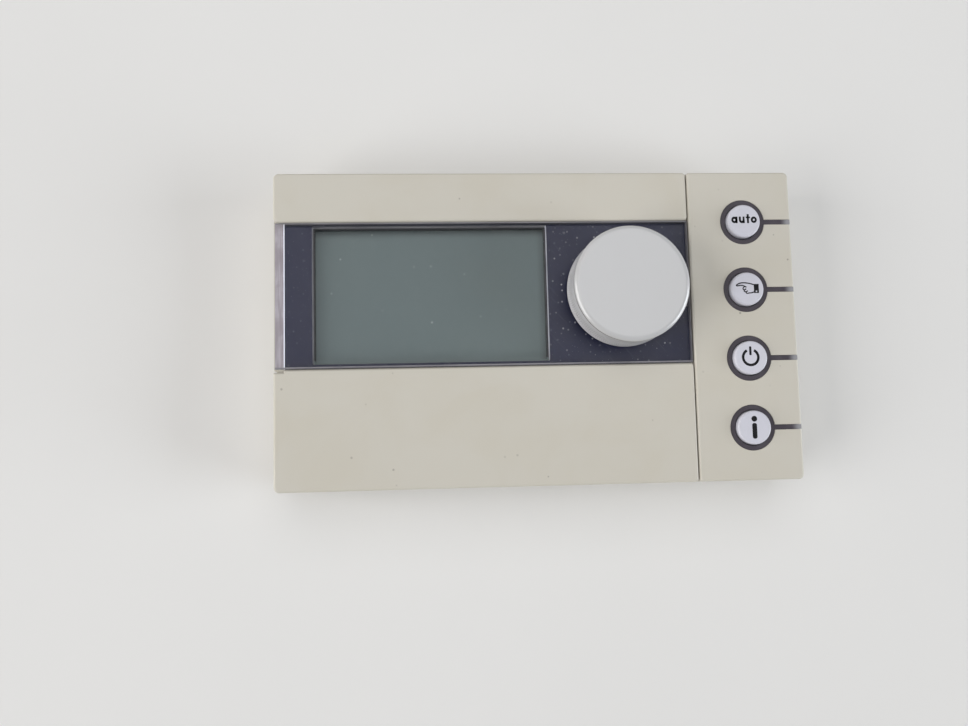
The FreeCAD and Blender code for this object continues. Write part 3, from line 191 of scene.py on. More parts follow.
def newGroup(name, values, result):
    group = bpy.data.node_groups.new(name, "ShaderNodeTree")
    sockets = group.interface
    sockets.new_socket(name="Vector", in_out="INPUT", socket_type="NodeSocketVector")
    for title, value in values.items():
        socket = sockets.new_socket(name=title, in_out="INPUT", socket_type="NodeSocketFloat")
        socket.default_value = value
    sockets.new_socket(name=result, in_out="OUTPUT", socket_type="NodeSocketFloat")
    given = group.nodes.new("NodeGroupInput").outputs
    return group, given, group.nodes.new("NodeGroupOutput").inputs


def makeGrain():
    # spark-eroded skin of moulded plastic: fine grain on a softer ripple
    rippleShare = 0.6
    group, given, result = newGroup("mouldedGrain", {"Scale": 2600.0}, "Height")
    fine = addNode(group, "ShaderNodeTexNoise", {
        "Vector": given["Vector"], "Scale": given["Scale"], "Detail": 2.0, "Roughness": 0.6})
    ripple = addNode(group, "ShaderNodeTexNoise", {
        "Vector": given["Vector"], "Scale": 160.0, "Detail": 1.0})
    total = mathNode(group, "MULTIPLY_ADD", ripple.outputs["Fac"], rippleShare, fine.outputs["Fac"])
    group.links.new(total, result["Height"])
    return group


def makeSmudge():
    # wide cloudy patches where the surface has been handled
    group, given, result = newGroup("handlingSmudge", {"Scale": 45.0}, "Mask")
    wide = addNode(group, "ShaderNodeTexNoise", {
        "Vector": given["Vector"], "Scale": given["Scale"],
        "Detail": 4.0, "Roughness": 0.55, "Distortion": 0.4})
    patches = remap(group, wide.outputs["Fac"], low=0.38, high=0.68)
    group.links.new(patches, result["Mask"])
    return group


def makeSpecks():
    # single specks of dust or dirt, a few strong and most faint; only some cells have one
    speck = {"core": 0.5, "fading": 2.0}
    usual = {"Scale": 700.0, "Size": 0.12, "Share": 0.2}
    group, given, result = newGroup("dustSpecks", usual, "Mask")
    cells = addNode(group, "ShaderNodeTexVoronoi", {
        "Vector": given["Vector"], "Scale": given["Scale"], "Randomness": 1.0})
    chance = addNode(group, "ShaderNodeSeparateColor", {"Color": cells.outputs["Color"]}).outputs
    spread = mathNode(group, "MULTIPLY", given["Size"], chance["Green"])
    core = mathNode(group, "MULTIPLY", spread, speck["core"])
    dot = remap(group, cells.outputs["Distance"], spread, core)
    chosen = mathNode(group, "LESS_THAN", chance["Red"], given["Share"])
    weight = mathNode(group, "POWER", chance["Blue"], speck["fading"])
    seen = mathNode(group, "MULTIPLY", chosen, weight)
    group.links.new(mathNode(group, "MULTIPLY", dot, seen), result["Mask"])
    return group


def makeScratches():
    # hairline scratches, long in one direction
    group, given, result = newGroup("fineScratches", {"Turn": 0.6}, "Mask")
    turned = addNode(group, "ShaderNodeVectorRotate", {
        "Vector": given["Vector"], "Angle": given["Turn"]}, rotation_type="Y_AXIS")
    drawn = addNode(group, "ShaderNodeMapping", {
        "Vector": turned.outputs["Vector"], "Scale": (1.0, 1.0, 0.06)})
    lines = addNode(group, "ShaderNodeTexNoise", {
        "Vector": drawn.outputs["Vector"], "Scale": 1700.0, "Detail": 3.0})
    thin = remap(group, lines.outputs["Fac"], low=0.61, high=0.68)
    group.links.new(thin, result["Mask"])
    return group


grainGroup, smudgeGroup = makeGrain(), makeSmudge()
speckGroup, scratchGroup = makeSpecks(), makeScratches()


def placeGroup(tree, group, place, **values):
    links = {"Vector": place, **values}
    return addNode(tree, "ShaderNodeGroup", links, node_tree=group).outputs[0]


# parts that most materials share

def newMaterial(name):
    material = bpy.data.materials.new(name)
    material.use_nodes = True
    tree = material.node_tree
    shader = tree.nodes["Principled BSDF"]
    place = tree.nodes.new("ShaderNodeTexCoord").outputs["Object"]
    return material, tree, shader, place


def paint(tree, shader, tone):
    tree.links.new(tone, shader.inputs["Base Color"])


def setRoughness(tree, shader, share, smoothest, roughest):
    rough = remap(tree, share, 0.0, 1.0, smoothest, roughest)
    tree.links.new(rough, shader.inputs["Roughness"])


def addBump(tree, shader, height, strength, deep):
    links = {"Height": height, "Strength": strength, "Distance": deep}
    bump = addNode(tree, "ShaderNodeBump", links)
    tree.links.new(bump.outputs["Normal"], shader.inputs["Normal"])


def letThrough(tree, shader, share):
    # where the share is 1 the surface isn't there
    absent = tree.nodes.new("ShaderNodeBsdfTransparent")
    mixed = tree.nodes.new("ShaderNodeMixShader")
    tree.links.new(share, mixed.inputs[0])
    tree.links.new(shader.outputs["BSDF"], mixed.inputs[1])
    tree.links.new(absent.outputs["BSDF"], mixed.inputs[2])
    tree.links.new(mixed.outputs["Shader"], tree.nodes["Material Output"].inputs["Surface"])


# opaque moulded plastics, one recipe with its usual values and a look for each

usualPlastic = {
    "smudgeScale": 45.0, "speckScale": 260.0, "speckSize": 0.1, "speckShare": 0.08,
    "dirt": 0.5, "dirtColour": (0.22, 0.2, 0.17), "roughSpread": 0.1,
    "grain": 0.12, "grainScale": 2600.0, "grainDeep": 0.06 * mm,
    "specular": 0.4, "coat": 0.0, "coatRough": 0.2}


def mouldedPlastic(name, changes):
    look = {**usualPlastic, **changes}
    material, tree, shader, place = newMaterial(name)
    smudge = placeGroup(tree, smudgeGroup, place, Scale=look["smudgeScale"])
    specks = placeGroup(tree, speckGroup, place, Scale=look["speckScale"],
                        Size=look["speckSize"], Share=look["speckShare"])
    tone = blendColour(tree, smudge, look["colour"], look["aged"])
    dirt = mathNode(tree, "MULTIPLY", specks, look["dirt"])
    paint(tree, shader, blendColour(tree, dirt, tone, look["dirtColour"]))
    roughest = look["roughness"] + look["roughSpread"]
    setRoughness(tree, shader, smudge, look["roughness"], roughest)
    grain = placeGroup(tree, grainGroup, place, Scale=look["grainScale"])
    addBump(tree, shader, grain, look["grain"], look["grainDeep"])
    shader.inputs["Specular IOR Level"].default_value = look["specular"]
    shader.inputs["Coat Weight"].default_value = look["coat"]
    shader.inputs["Coat Roughness"].default_value = look["coatRough"]
    return material


dialLook = {
    "colour": (0.54, 0.543, 0.554), "aged": (0.535, 0.538, 0.548), "roughness": 0.26,
    "roughSpread": 0.0, "grain": 0.05, "dirt": 0.2, "speckShare": 0.03, "smudgeScale": 70.0,
    "specular": 1.0, "coat": 0.5}

creamShell = mouldedPlastic("creamShell", {
    "colour": (0.60, 0.573, 0.507), "aged": (0.588, 0.557, 0.483), "roughness": 0.38,
    "grain": 0.1, "dirt": 0.9, "speckSize": 0.14, "speckShare": 0.3})
rearShell = mouldedPlastic("rearShell", {
    "colour": (0.58, 0.555, 0.495), "aged": (0.566, 0.538, 0.474), "roughness": 0.5,
    "grain": 0.16, "dirt": 0.3, "speckShare": 0.05})
dialGrey = mouldedPlastic("dialGrey", dialLook)
# painted light: the skirt is a lighter copy of the dial's grey, standing in for side light on it
paintedLitSkirt = mouldedPlastic("paintedLitSkirt", dict(
    dialLook, colour=(0.64, 0.64, 0.655), aged=(0.6, 0.6, 0.614), smudgeScale=160.0, coat=0.0))
# painted shade: dark brown for the groove under the rim, where the rim's overhang shades it
grooveShade = mouldedPlastic("grooveShade", {
    "colour": (0.1, 0.075, 0.06), "aged": (0.16, 0.125, 0.105), "roughness": 0.6,
    "smudgeScale": 300.0})
capWhite = mouldedPlastic("capWhite", {
    "colour": (0.64, 0.64, 0.715), "aged": (0.615, 0.615, 0.68), "roughness": 0.3,
    "grain": 0.05, "dirt": 0.2, "speckShare": 0.03, "smudgeScale": 160.0})
keyGrey = mouldedPlastic("keyGrey", {
    "colour": (0.33, 0.335, 0.34), "aged": (0.3, 0.3, 0.305), "roughness": 0.45,
    "grain": 0.1, "dirt": 0.2})
blackPlastic = mouldedPlastic("blackPlastic", {
    "colour": (0.018, 0.018, 0.02), "aged": (0.03, 0.03, 0.032), "roughness": 0.5,
    "grain": 0.1, "dirtColour": (0.2, 0.2, 0.2)})
whiteDiffuser = mouldedPlastic("whiteDiffuser", {
    "colour": (0.72, 0.73, 0.72), "aged": (0.68, 0.69, 0.67), "roughness": 0.5})
terminalGrey = mouldedPlastic("terminalGrey", {
    "colour": (0.24, 0.26, 0.27), "aged": (0.2, 0.22, 0.23), "roughness": 0.5})
softRubber = mouldedPlastic("softRubber", {
    "colour": (0.06, 0.06, 0.065), "aged": (0.1, 0.1, 0.1), "roughness": 0.75,
    "grainScale": 900.0, "dirtColour": (0.3, 0.3, 0.3)})
printInk = mouldedPlastic("printInk", {
    "colour": (0.01, 0.01, 0.012), "aged": (0.02, 0.02, 0.022), "roughness": 0.6, "specular": 0.12,
    "grain": 0.05, "smudgeScale": 700.0, "speckScale": 1800.0, "dirt": 0.15,
    "dirtColour": (0.4, 0.4, 0.42)})


# the other materials

def makeSmoke():
    # dark smoky light guide; the last of each bar is painted paler where it turns over the panel's
    # edge, a painted glow of light through the translucent bend
    look = {"body": (0.052, 0.043, 0.057), "worn": (0.066, 0.056, 0.071), "pale": (0.3, 0.3, 0.32),
            "paleFrom": 71.9 * mm, "paleTo": 74.4 * mm, "rough": (0.3, 0.42),
            "grain": 0.05, "grainDeep": 0.05 * mm}
    material, tree, shader, place = newMaterial("smokeGuide")
    smudge = placeGroup(tree, smudgeGroup, place, Scale=240.0)
    tone = blendColour(tree, smudge, look["body"], look["worn"])
    end = remap(tree, axesOf(tree, place)["X"], look["paleFrom"], look["paleTo"])
    paint(tree, shader, blendColour(tree, end, tone, look["pale"]))
    setRoughness(tree, shader, smudge, *look["rough"])
    grain = placeGroup(tree, grainGroup, place, Scale=1800.0)
    addBump(tree, shader, grain, look["grain"], look["grainDeep"])
    return material


def makeMask():
    # dark blue-grey ink behind the window, with a painted reflection along its top edge;
    # dust and fine scratches lie thickest round the dial
    look = {"ink": (0.0125, 0.0145, 0.0425), "cloud": (0.0145, 0.0165, 0.0455),
            "lift": (0.055, 0.056, 0.067), "reflectionFrom": 29.8 * mm, "reflectionTo": 30.4 * mm,
            "dial": (24.43 * mm, 0.0, 10.25 * mm), "near": 17 * mm, "far": 30 * mm,
            "farShare": 0.12, "dust": (0.5, 0.49, 0.52), "dustShare": 0.9, "lineShare": 0.045,
            "rough": (0.29, 0.33)}
    material, tree, shader, place = newMaterial("maskInk")
    smudge = placeGroup(tree, smudgeGroup, place, Scale=120.0)
    tone = blendColour(tree, smudge, look["ink"], look["cloud"])
    # painted reflection: the ink is painted paler along the top edge, where the window would
    # reflect the lit front
    lift = remap(tree, axesOf(tree, place)["Z"], look["reflectionFrom"], look["reflectionTo"])
    tone = blendColour(tree, lift, tone, look["lift"])
    away = vectorNode(tree, "SUBTRACT", place, look["dial"])[0]
    flat = vectorNode(tree, "MULTIPLY", away, (1.0, 0.0, 1.0))[0]
    reach = vectorNode(tree, "LENGTH", flat)["Value"]
    handled = remap(tree, reach, look["far"], look["near"], toLow=look["farShare"])
    dust = placeGroup(tree, speckGroup, place, Scale=640.0, Size=0.55, Share=0.8)
    dust = mathNode(tree, "MULTIPLY", dust, look["dustShare"])
    lines = placeGroup(tree, scratchGroup, place, Turn=0.7)
    marks = mathNode(tree, "MULTIPLY_ADD", lines, look["lineShare"], dust)
    pale = mathNode(tree, "MULTIPLY", marks, handled, clamp=True)
    paint(tree, shader, blendColour(tree, pale, tone, look["dust"]))
    setRoughness(tree, shader, smudge, *look["rough"])
    return material


def makeBezel():
    # dark frame round the display; its lower lip is painted in the display's lit tone, painted
    # light against the shade of the recess
    look = {"ink": (0.045, 0.048, 0.052), "lip": (0.15, 0.19, 0.19),
            "litLipFrom": -8.2 * mm, "litLipTo": -8.6 * mm, "rough": (0.18, 0.26)}
    material, tree, shader, place = newMaterial("bezelInkAndPaintedLight")
    # painted light: the lower lip is painted lighter where the recess would shade it
    lip = remap(tree, axesOf(tree, place)["Z"], look["litLipFrom"], look["litLipTo"])
    paint(tree, shader, blendColour(tree, lip, look["ink"], look["lip"]))
    smudge = placeGroup(tree, smudgeGroup, place, Scale=120.0)
    setRoughness(tree, shader, smudge, *look["rough"])
    return material


def makeDisplay():
    # blank display: grey-green with soft cloud, a few specks and painted shade along three edges,
    # where the recess walls shade it
    look = {"field": (0.119, 0.156, 0.16), "cloud": (0.127, 0.164, 0.165),
            "shade": (0.012, 0.016, 0.017), "top": (30.4 * mm, 26.6 * mm),
            "left": (-65.2 * mm, -64.2 * mm), "right": (2.4 * mm, -0.2 * mm), "rightShare": 0.6,
            "dust": (0.5, 0.52, 0.5), "dustShare": 0.5, "rough": (0.29, 0.33)}
    material, tree, shader, place = newMaterial("displayGlass")
    smudge = placeGroup(tree, smudgeGroup, place, Scale=28.0)
    tone = blendColour(tree, smudge, look["field"], look["cloud"])
    dust = placeGroup(tree, speckGroup, place, Scale=420.0, Size=0.32, Share=0.22)
    dust = mathNode(tree, "MULTIPLY", dust, look["dustShare"])
    tone = blendColour(tree, dust, tone, look["dust"])
    axes = axesOf(tree, place)
    fromTop = remap(tree, axes["Z"], *look["top"])
    fromLeft = remap(tree, axes["X"], *look["left"])
    fromRight = remap(tree, axes["X"], *look["right"], toLow=look["rightShare"])
    lit = mathNode(tree, "MULTIPLY", fromTop, fromLeft)
    lit = mathNode(tree, "MULTIPLY", lit, fromRight)
    paint(tree, shader, blendColour(tree, lit, look["shade"], tone))
    setRoughness(tree, shader, smudge, *look["rough"])
    return material


def makeClear():
    # clear window; lamplight and what the layers behind it throw back pass straight through
    look = {"tint": (0.97, 0.975, 0.98), "refraction": 1.02, "rough": (0.01, 0.03)}
    material, tree, shader, place = newMaterial("clearWindow")
    shader.inputs["Base Color"].default_value = opaque(look["tint"])
    shader.inputs["Transmission Weight"].default_value = 1.0
    shader.inputs["IOR"].default_value = look["refraction"]
    lines = placeGroup(tree, scratchGroup, place, Turn=2.2)
    setRoughness(tree, shader, lines, *look["rough"])
    path = tree.nodes.new("ShaderNodeLightPath").outputs
    bounced = mathNode(tree, "MAXIMUM", path["Is Glossy Ray"], path["Is Diffuse Ray"])
    letThrough(tree, shader, mathNode(tree, "MAXIMUM", bounced, path["Is Shadow Ray"]))
    return material


def makePaintedEdge(name, pale, dull):
    # painted light for the window's moulded edges: lit and shaded copies of one finish, their glow
    # painted in
    rough = (0.3, 0.5)
    material, tree, shader, place = newMaterial(name)
    smudge = placeGroup(tree, smudgeGroup, place, Scale=90.0)
    paint(tree, shader, blendColour(tree, smudge, pale, dull))
    setRoughness(tree, shader, smudge, *rough)
    return material


def makeEnd():
    # clear left end of the window, streaked along its length by the moulding
    look = {"streak": (0.335, 0.305, 0.337), "body": (0.475, 0.44, 0.49),
            "streakRange": (0.35, 0.65), "patch": (0.295, 0.262, 0.288), "patchShare": 0.7,
            "rough": (0.3, 0.45)}
    material, tree, shader, place = newMaterial("streakedEnd")
    drawn = addNode(tree, "ShaderNodeMapping", {"Vector": place, "Scale": (1.0, 1.0, 0.08)})
    streaks = addNode(tree, "ShaderNodeTexNoise", {
        "Vector": drawn.outputs["Vector"], "Scale": 1500.0, "Detail": 2.0})
    along = remap(tree, streaks.outputs["Fac"], *look["streakRange"])
    tone = blendColour(tree, along, look["streak"], look["body"])
    patches = placeGroup(tree, smudgeGroup, place, Scale=130.0)
    faint = mathNode(tree, "MULTIPLY", patches, look["patchShare"])
    paint(tree, shader, blendColour(tree, faint, tone, look["patch"]))
    setRoughness(tree, shader, patches, *look["rough"])
    return material


def makeBoard():
    # green board: solder mask with paler copper runs under it
    look = {"mask": (0.012, 0.085, 0.04), "copper": (0.03, 0.15, 0.07), "rough": (0.25, 0.45),
            "raised": 0.2, "raisedDeep": 0.04 * mm}
    material, tree, shader, place = newMaterial("boardGreen")
    turned = addNode(tree, "ShaderNodeVectorRotate", {
        "Vector": place, "Angle": math.pi / 2}, rotation_type="X_AXIS")
    runs = addNode(tree, "ShaderNodeTexBrick", {
        "Vector": turned.outputs["Vector"], "Scale": 190.0, "Mortar Size": 0.05,
        "Brick Width": 1.4, "Row Height": 0.5}).outputs["Fac"]
    paint(tree, shader, blendColour(tree, runs, look["mask"], look["copper"]))
    smudge = placeGroup(tree, smudgeGroup, place, Scale=80.0)
    setRoughness(tree, shader, smudge, *look["rough"])
    addBump(tree, shader, runs, look["raised"], look["raisedDeep"])
    return material


def makeMetal(name, bright, dull):
    # turned metal with fine drawn lines and dull patches
    rough = (0.28, 0.5)
    material, tree, shader, place = newMaterial(name)
    shader.inputs["Metallic"].default_value = 1.0
    smudge = placeGroup(tree, smudgeGroup, place, Scale=400.0)
    paint(tree, shader, blendColour(tree, smudge, bright, dull))
    lines = placeGroup(tree, scratchGroup, place, Turn=0.0)
    setRoughness(tree, shader, lines, *rough)
    return material


smokeGuide, maskInk, bezelInkAndPaintedLight, displayGlass = makeSmoke(), makeMask(), makeBezel(), makeDisplay()
clearWindow, streakedEnd, boardGreen = makeClear(), makeEnd(), makeBoard()
dimPaintedEdge = makePaintedEdge("dimPaintedEdge", (0.26, 0.255, 0.28), (0.2, 0.195, 0.22))
palePaintedEdge = makePaintedEdge("palePaintedEdge", (0.56, 0.57, 0.64), (0.42, 0.435, 0.5))
brightPaintedEdge = makePaintedEdge("brightPaintedEdge", (0.84, 0.88, 0.99), (0.75, 0.79, 0.92))
steel = makeMetal("steel", (0.62, 0.61, 0.58), (0.45, 0.44, 0.42))
brass = makeMetal("brassParts", (0.72, 0.52, 0.22), (0.5, 0.35, 0.15))

finishes = {
    creamShell: ["front_housing", "top_trim", "button_panel", "control_flap"],
    rearShell: ["rear_housing", "wall_plate"],
    dialGrey: ["setting_knob"],
    capWhite: ["auto_button", "manual_button", "standby_button", "info_button"],
    keyGrey: ["service_key_%d" % number for number in range(1, 8)],
    smokeGuide: ["light_guide"],
    clearWindow: ["display_window"],
    maskInk: ["display_mask"],
    bezelInkAndPaintedLight: ["lcd_bezel"],
    displayGlass: ["lcd_cell"],
    whiteDiffuser: ["lcd_holder", "indicator_leds"],
    blackPlastic: ["key_switches", "controller_chip", "encoder_body", "reserve_capacitor",
                   "temperature_sensor"],
    softRubber: ["lcd_connectors"],
    boardGreen: ["circuit_board"],
    steel: ["encoder_shaft", "board_screws", "terminal_screws"],
    brass: ["terminal_clamps", "bus_pins"],
    terminalGrey: ["terminal_block"],
}
for material, names in finishes.items():
    for name in names:
        dressWith(nodes[name], material)
print("finishes on", sum(len(names) for names in finishes.values()), "solids")


# setting dial: hollow skirt with a foot lip, fine ribs and a groove, flat top with a rounded rim

def makeDial():
    dial = {"segments": 320, "wall": 1.6 * mm, "flare": 0.2 * mm, "overhang": 0.03 * mm,
            "lip": 1.2 * mm, "ribs": 5.6 * mm, "ribDepth": 0.2 * mm, "ribEdge": 0.06 * mm,
            "sideways": 0.5,
            "groove": 0.5 * mm, "grooveDepth": 0.5 * mm,
            "rim": 1.3 * mm, "edgeWide": 1.5 * mm, "edgeTall": 1.2 * mm, "edgeSteps": 8,
            "hub": 4.7 * mm, "roof": 1.6 * mm, "lift": 20.3 * mm, "margin": 0.01 * mm}
    low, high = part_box("setting_knob")
    middle = (low + high) / 2
    foot, front = (high.x - low.x) / 2, -low.y
    rimRadius, rear, hubRear = foot - dial["flare"], dial["lift"], -high.y
    radius = rimRadius - dial["overhang"]
    inner = radius - dial["wall"]
    tall = front - rear
    clearSelection()
    bpy.ops.mesh.primitive_cone_add(vertices=dial["segments"], radius1=foot, radius2=radius,
                                    depth=dial["lip"], location=(0, 0, 0))
    piece = takeNew("setting_dial")
    startEdit(piece)
    # every height below counts from the foot
    pickAll()
    bpy.ops.transform.translate(value=(0, 0, dial["lip"] / 2))
    pick(piece, "FACE", lambda face: face.calc_center_median().z > dial["lip"] - touch)
    pushOut(0, 0, dial["ribs"])
    pushOut(0, 0, tall - dial["lip"] - dial["ribs"] - dial["groove"] - dial["rim"])
    bpy.ops.mesh.inset(thickness=dial["grooveDepth"])
    pushOut(0, 0, dial["groove"])
    pushOut(0, 0, 0)
    grown = rimRadius / (radius - dial["grooveDepth"])
    bpy.ops.transform.resize(value=(grown, grown, 1))
    pushOut(0, 0, dial["rim"] - dial["edgeTall"])
    reach, up = rimRadius, 0.0
    for number in range(1, dial["edgeSteps"] + 1):
        angle = number * math.pi / 2 / dial["edgeSteps"]
        nextUp = dial["edgeTall"] * math.sin(angle)
        nextReach = rimRadius - dial["edgeWide"] * (1 - math.cos(angle))
        pushOut(0, 0, nextUp - up)
        bpy.ops.transform.resize(value=(nextReach / reach, nextReach / reach, 1))
        reach, up = nextReach, nextUp

    def everySecondRib(face):
        spot = face.calc_center_median()
        onBand = dial["lip"] < spot.z < dial["lip"] + dial["ribs"]
        turn = (math.atan2(spot.y, spot.x) + math.pi) / (2 * math.pi / dial["segments"])
        return onBand and abs(face.normal.z) < dial["sideways"] and int(math.floor(turn)) % 2

    pick(piece, "FACE", everySecondRib)
    bpy.ops.mesh.inset(thickness=dial["ribEdge"], depth=-dial["ribDepth"], use_individual=True)
    # hollow underside with a hub
    pick(piece, "FACE", lambda face: face.calc_center_median().z < touch)
    bpy.ops.mesh.inset(thickness=foot - inner)
    roof = tall - dial["roof"]
    pushOut(0, 0, roof)
    bpy.ops.mesh.inset(thickness=inner - dial["hub"])
    pushOut(0, 0, -roof - (rear - hubRear))
    endEdit()
    piece.rotation_euler = (math.pi / 2, 0, 0)
    piece.location = (middle.x, -rear, middle.z)
    settle(piece)
    smooth(piece)
    dressWith(piece, dialGrey, grooveShade, paintedLitSkirt)
    # painted shade: the groove's faces below the rim take the dark painted shade finish
    inGroove, onSkirt = 1, 2
    rimFoot = -(front - dial["rim"])
    grooveFoot = rimFoot + dial["groove"] + dial["margin"]
    # the skirt's faces take the lighter painted-light copy of the dial's grey
    for face in piece.data.polygons:
        away = math.hypot(face.center.x - middle.x, face.center.z - middle.z)
        if inner < away and face.center.y > rimFoot - dial["margin"]:
            face.material_index = inGroove if face.center.y < grooveFoot else onSkirt
    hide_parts("setting_knob")
    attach(piece, "knob")
    print("dial", len(piece.data.polygons), "faces")


makeDial()


# clear window: plate with a bed for the mask, a step into the display opening and the dial's hole

def makeWindow():
    window = {"gap": 0.04 * mm, "edge": 0.45 * mm, "edgeSteps": 3,
              "bedDepth": 0.36 * mm, "slant": 0.36 * mm, "spare": 1.0 * mm,
              "frameBand": 3.4 * mm, "stepFront": 0.9 * mm, "shadeLine": 0.36 * mm,
              "stepEdge": 0.16 * mm, "stepEdgeSteps": 2,
              "stepCorner": 0.5 * mm, "stepCornerSteps": 5, "longEdge": 0.1 * mm,
              "hole": 5.6 * mm, "holeSides": 96, "holeDeep": 10 * mm}
    # how far a face has to look one way to count as square, as a wall, as a side or as sloped
    looks = {"flat": 0.99, "square": 0.9, "wall": 0.95, "side": 0.5, "sloped": 0.3}
    low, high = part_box("display_window")
    maskLow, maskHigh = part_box("display_mask")
    frameLow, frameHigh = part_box("lcd_bezel")
    dialLow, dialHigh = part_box("setting_knob")
    back = maskHigh.y - window["gap"]
    bedFloor = back - window["bedDepth"]
    piece = addBlock("clear_window", (low.x, low.y, low.z), (high.x, back, high.z))
    startEdit(piece)
    pick(piece, "EDGE", lambda edge: all(abs(vert.co.y - low.y) < touch for vert in edge.verts))
    bpy.ops.mesh.bevel(offset=window["edge"], segments=window["edgeSteps"], affect="EDGES")
    endEdit()
    # the bed's left wall leans out, so it shows from the front as a line, which takes a painted
    # bright finish further down
    spare = window["spare"]
    bed = addBlock("bed_cutter", (maskLow.x - window["gap"], bedFloor, low.z - spare),
                   (maskHigh.x + window["gap"], back + spare, high.z + spare))
    startEdit(bed)
    pick(bed, "VERT", lambda vert: vert.co.x < maskLow.x and vert.co.y > back)
    lean = window["slant"] * (window["bedDepth"] + spare) / window["bedDepth"]
    bpy.ops.transform.translate(value=(-lean, 0, 0))
    endEdit()
    merge(piece, bed, "DIFFERENCE")
    # step that fills the display opening, with a dark line along its rear edge, painted shade on
    # the top and left sides only
    band = window["frameBand"]
    left, right = frameLow.x + band, frameHigh.x - band
    bottom, top = frameLow.z + band, frameHigh.z - band
    stepFront = low.y + window["stepFront"]
    step = addBlock("window_step", (left, stepFront, bottom), (right, high.y, top))
    startEdit(step)
    pick(step, "EDGE",
         lambda edge: abs(edge.verts[0].co.y - edge.verts[1].co.y) > window["longEdge"])
    bpy.ops.mesh.bevel(offset=window["stepCorner"], segments=window["stepCornerSteps"],
                       affect="EDGES")
    pick(step, "EDGE", lambda edge: all(abs(vert.co.y - high.y) < touch for vert in edge.verts))
    bpy.ops.mesh.bevel(offset=window["stepEdge"], segments=window["stepEdgeSteps"], affect="EDGES")
    pick(step, "FACE", lambda face: face.normal.y > looks["flat"])
    bpy.ops.mesh.inset(thickness=window["shadeLine"])
    endEdit()
    merge(piece, step, "UNION")
    clearSelection()
    bpy.ops.mesh.primitive_cylinder_add(
        vertices=window["holeSides"], radius=window["hole"], depth=window["holeDeep"],
        location=((dialLow.x + dialHigh.x) / 2, low.y, (dialLow.z + dialHigh.z) / 2),
        rotation=(math.pi / 2, 0, 0))
    merge(piece, takeNew("hole_cutter"), "DIFFERENCE")
    dressWith(piece, clearWindow, dimPaintedEdge, palePaintedEdge, brightPaintedEdge, streakedEnd, bezelInkAndPaintedLight)
    dim, pale, bright, streaked, shadedLine = range(1, 6)
    inner = window["stepEdge"] + window["shadeLine"]
    # painted light: edge and wall faces take the dim, pale or bright painted finishes by which way
    # they face
    for face in piece.data.polygons:
        spot, facing = face.center, face.normal
        onBack = abs(spot.y - back) < touch and facing.y > looks["square"]
        if onBack and not maskLow.x < spot.x < maskHigh.x:
            face.material_index = streaked if spot.x < maskLow.x else dim
        elif spot.x > maskHigh.x and facing.x > looks["sloped"]:
            face.material_index = dim
        elif spot.x < maskLow.x and bedFloor + touch < spot.y < back:
            face.material_index = bright
        elif spot.y > back and abs(facing.y) < looks["wall"]:
            face.material_index = pale if facing.x > looks["side"] else dim
        # painted shade: the step's rear top and left faces take the dark finish, where the
        # opening's walls are in shade
        elif spot.y > high.y - touch and (spot.z > top - inner or spot.x < left + inner):
            face.material_index = shadedLine
        elif spot.y < low.y + window["edge"] and abs(facing.z) > looks["sloped"]:
            face.material_index = dim
    smooth(piece)
    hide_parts("display_window")
    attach(piece, "casing")
    print("window", len(piece.data.polygons), "faces")


makeWindow()


# printed signs on the caps, drawn flat from rings, bars and lines and then set on each cap

def discBit(radius, sides, centre):
    clearSelection()
    bpy.ops.mesh.primitive_circle_add(vertices=sides, radius=radius, fill_type="NGON",
                                      location=(centre[0], centre[1], 0))
    return takeNew("ring_bit")


def ringBit(radius, stroke, centre, squash=1.0, keep=None):
    sides = 64
    bit = discBit(radius, sides, (0, 0))
    startEdit(bit)
    pickAll()
    bpy.ops.mesh.inset(thickness=stroke)
    bpy.ops.mesh.delete(type="FACE")
    if keep:
        pick(bit, "FACE", lambda face: not keep(face.calc_center_median()))
        bpy.ops.mesh.delete(type="FACE")
    endEdit()
    bit.location = (centre[0], centre[1], 0)
    bit.scale = (squash, 1, 1)
    settle(bit)
    return bit


def barBit(low, high, rounded=0.0):
    roundSteps = 6
    clearSelection()
    middle = ((low[0] + high[0]) / 2, (low[1] + high[1]) / 2, 0)
    bpy.ops.mesh.primitive_plane_add(size=1, location=middle)
    bit = takeNew("bar_bit")
    bit.scale = (high[0] - low[0], high[1] - low[1], 1)
    settle(bit)
    if rounded:
        startEdit(bit)
        pickAll()
        bpy.ops.mesh.bevel(offset=rounded, segments=roundSteps, affect="VERTICES")
        endEdit()
    return bit


def lineBit(points, width):
    line = {"roundness": 2, "order": 3, "steps": 8, "flatten": 0.02}
    curve = bpy.data.curves.new("line_bit", "CURVE")
    curve.dimensions = "3D"
    curve.bevel_depth = width / 2
    curve.bevel_resolution = line["roundness"]
    curve.use_fill_caps = True
    spline = curve.splines.new("NURBS")
    spline.points.add(len(points) - 1)
    for point, (x, y) in zip(spline.points, points):
        point.co = (x * mm, y * mm, 0, 1)
    spline.order_u = line["order"]
    spline.use_endpoint_u = True
    spline.resolution_u = line["steps"]
    bit = bpy.data.objects.new("line_bit", curve)
    scene.collection.objects.link(bit)
    useAlone(bit)
    bpy.ops.object.convert(target="MESH")
    bit = bpy.context.object
    bit.scale = (1, 1, line["flatten"])
    settle(bit)
    return bit


def setSign(name, bits, cap, body):
    sign = {"film": 0.012 * mm, "proud": 0.004 * mm}
    for bit in bits:
        if bit.name.startswith(("ring", "bar")):
            startEdit(bit)
            pickAll()
            pushOut(0, 0, sign["film"])
            pickAll()
            bpy.ops.mesh.normals_make_consistent(inside=False)
            endEdit()
    useAlone(bits[0])
    for bit in bits:
        bit.select_set(True)
    bpy.ops.object.join()
    piece = takeNew(name)
    low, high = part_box(cap)
    piece.rotation_euler = (math.pi / 2, 0, 0)
    piece.location = ((low.x + high.x) / 2, low.y - sign["proud"], (low.z + high.z) / 2)
    settle(piece)
    dressWith(piece, printInk)
    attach(piece, body)


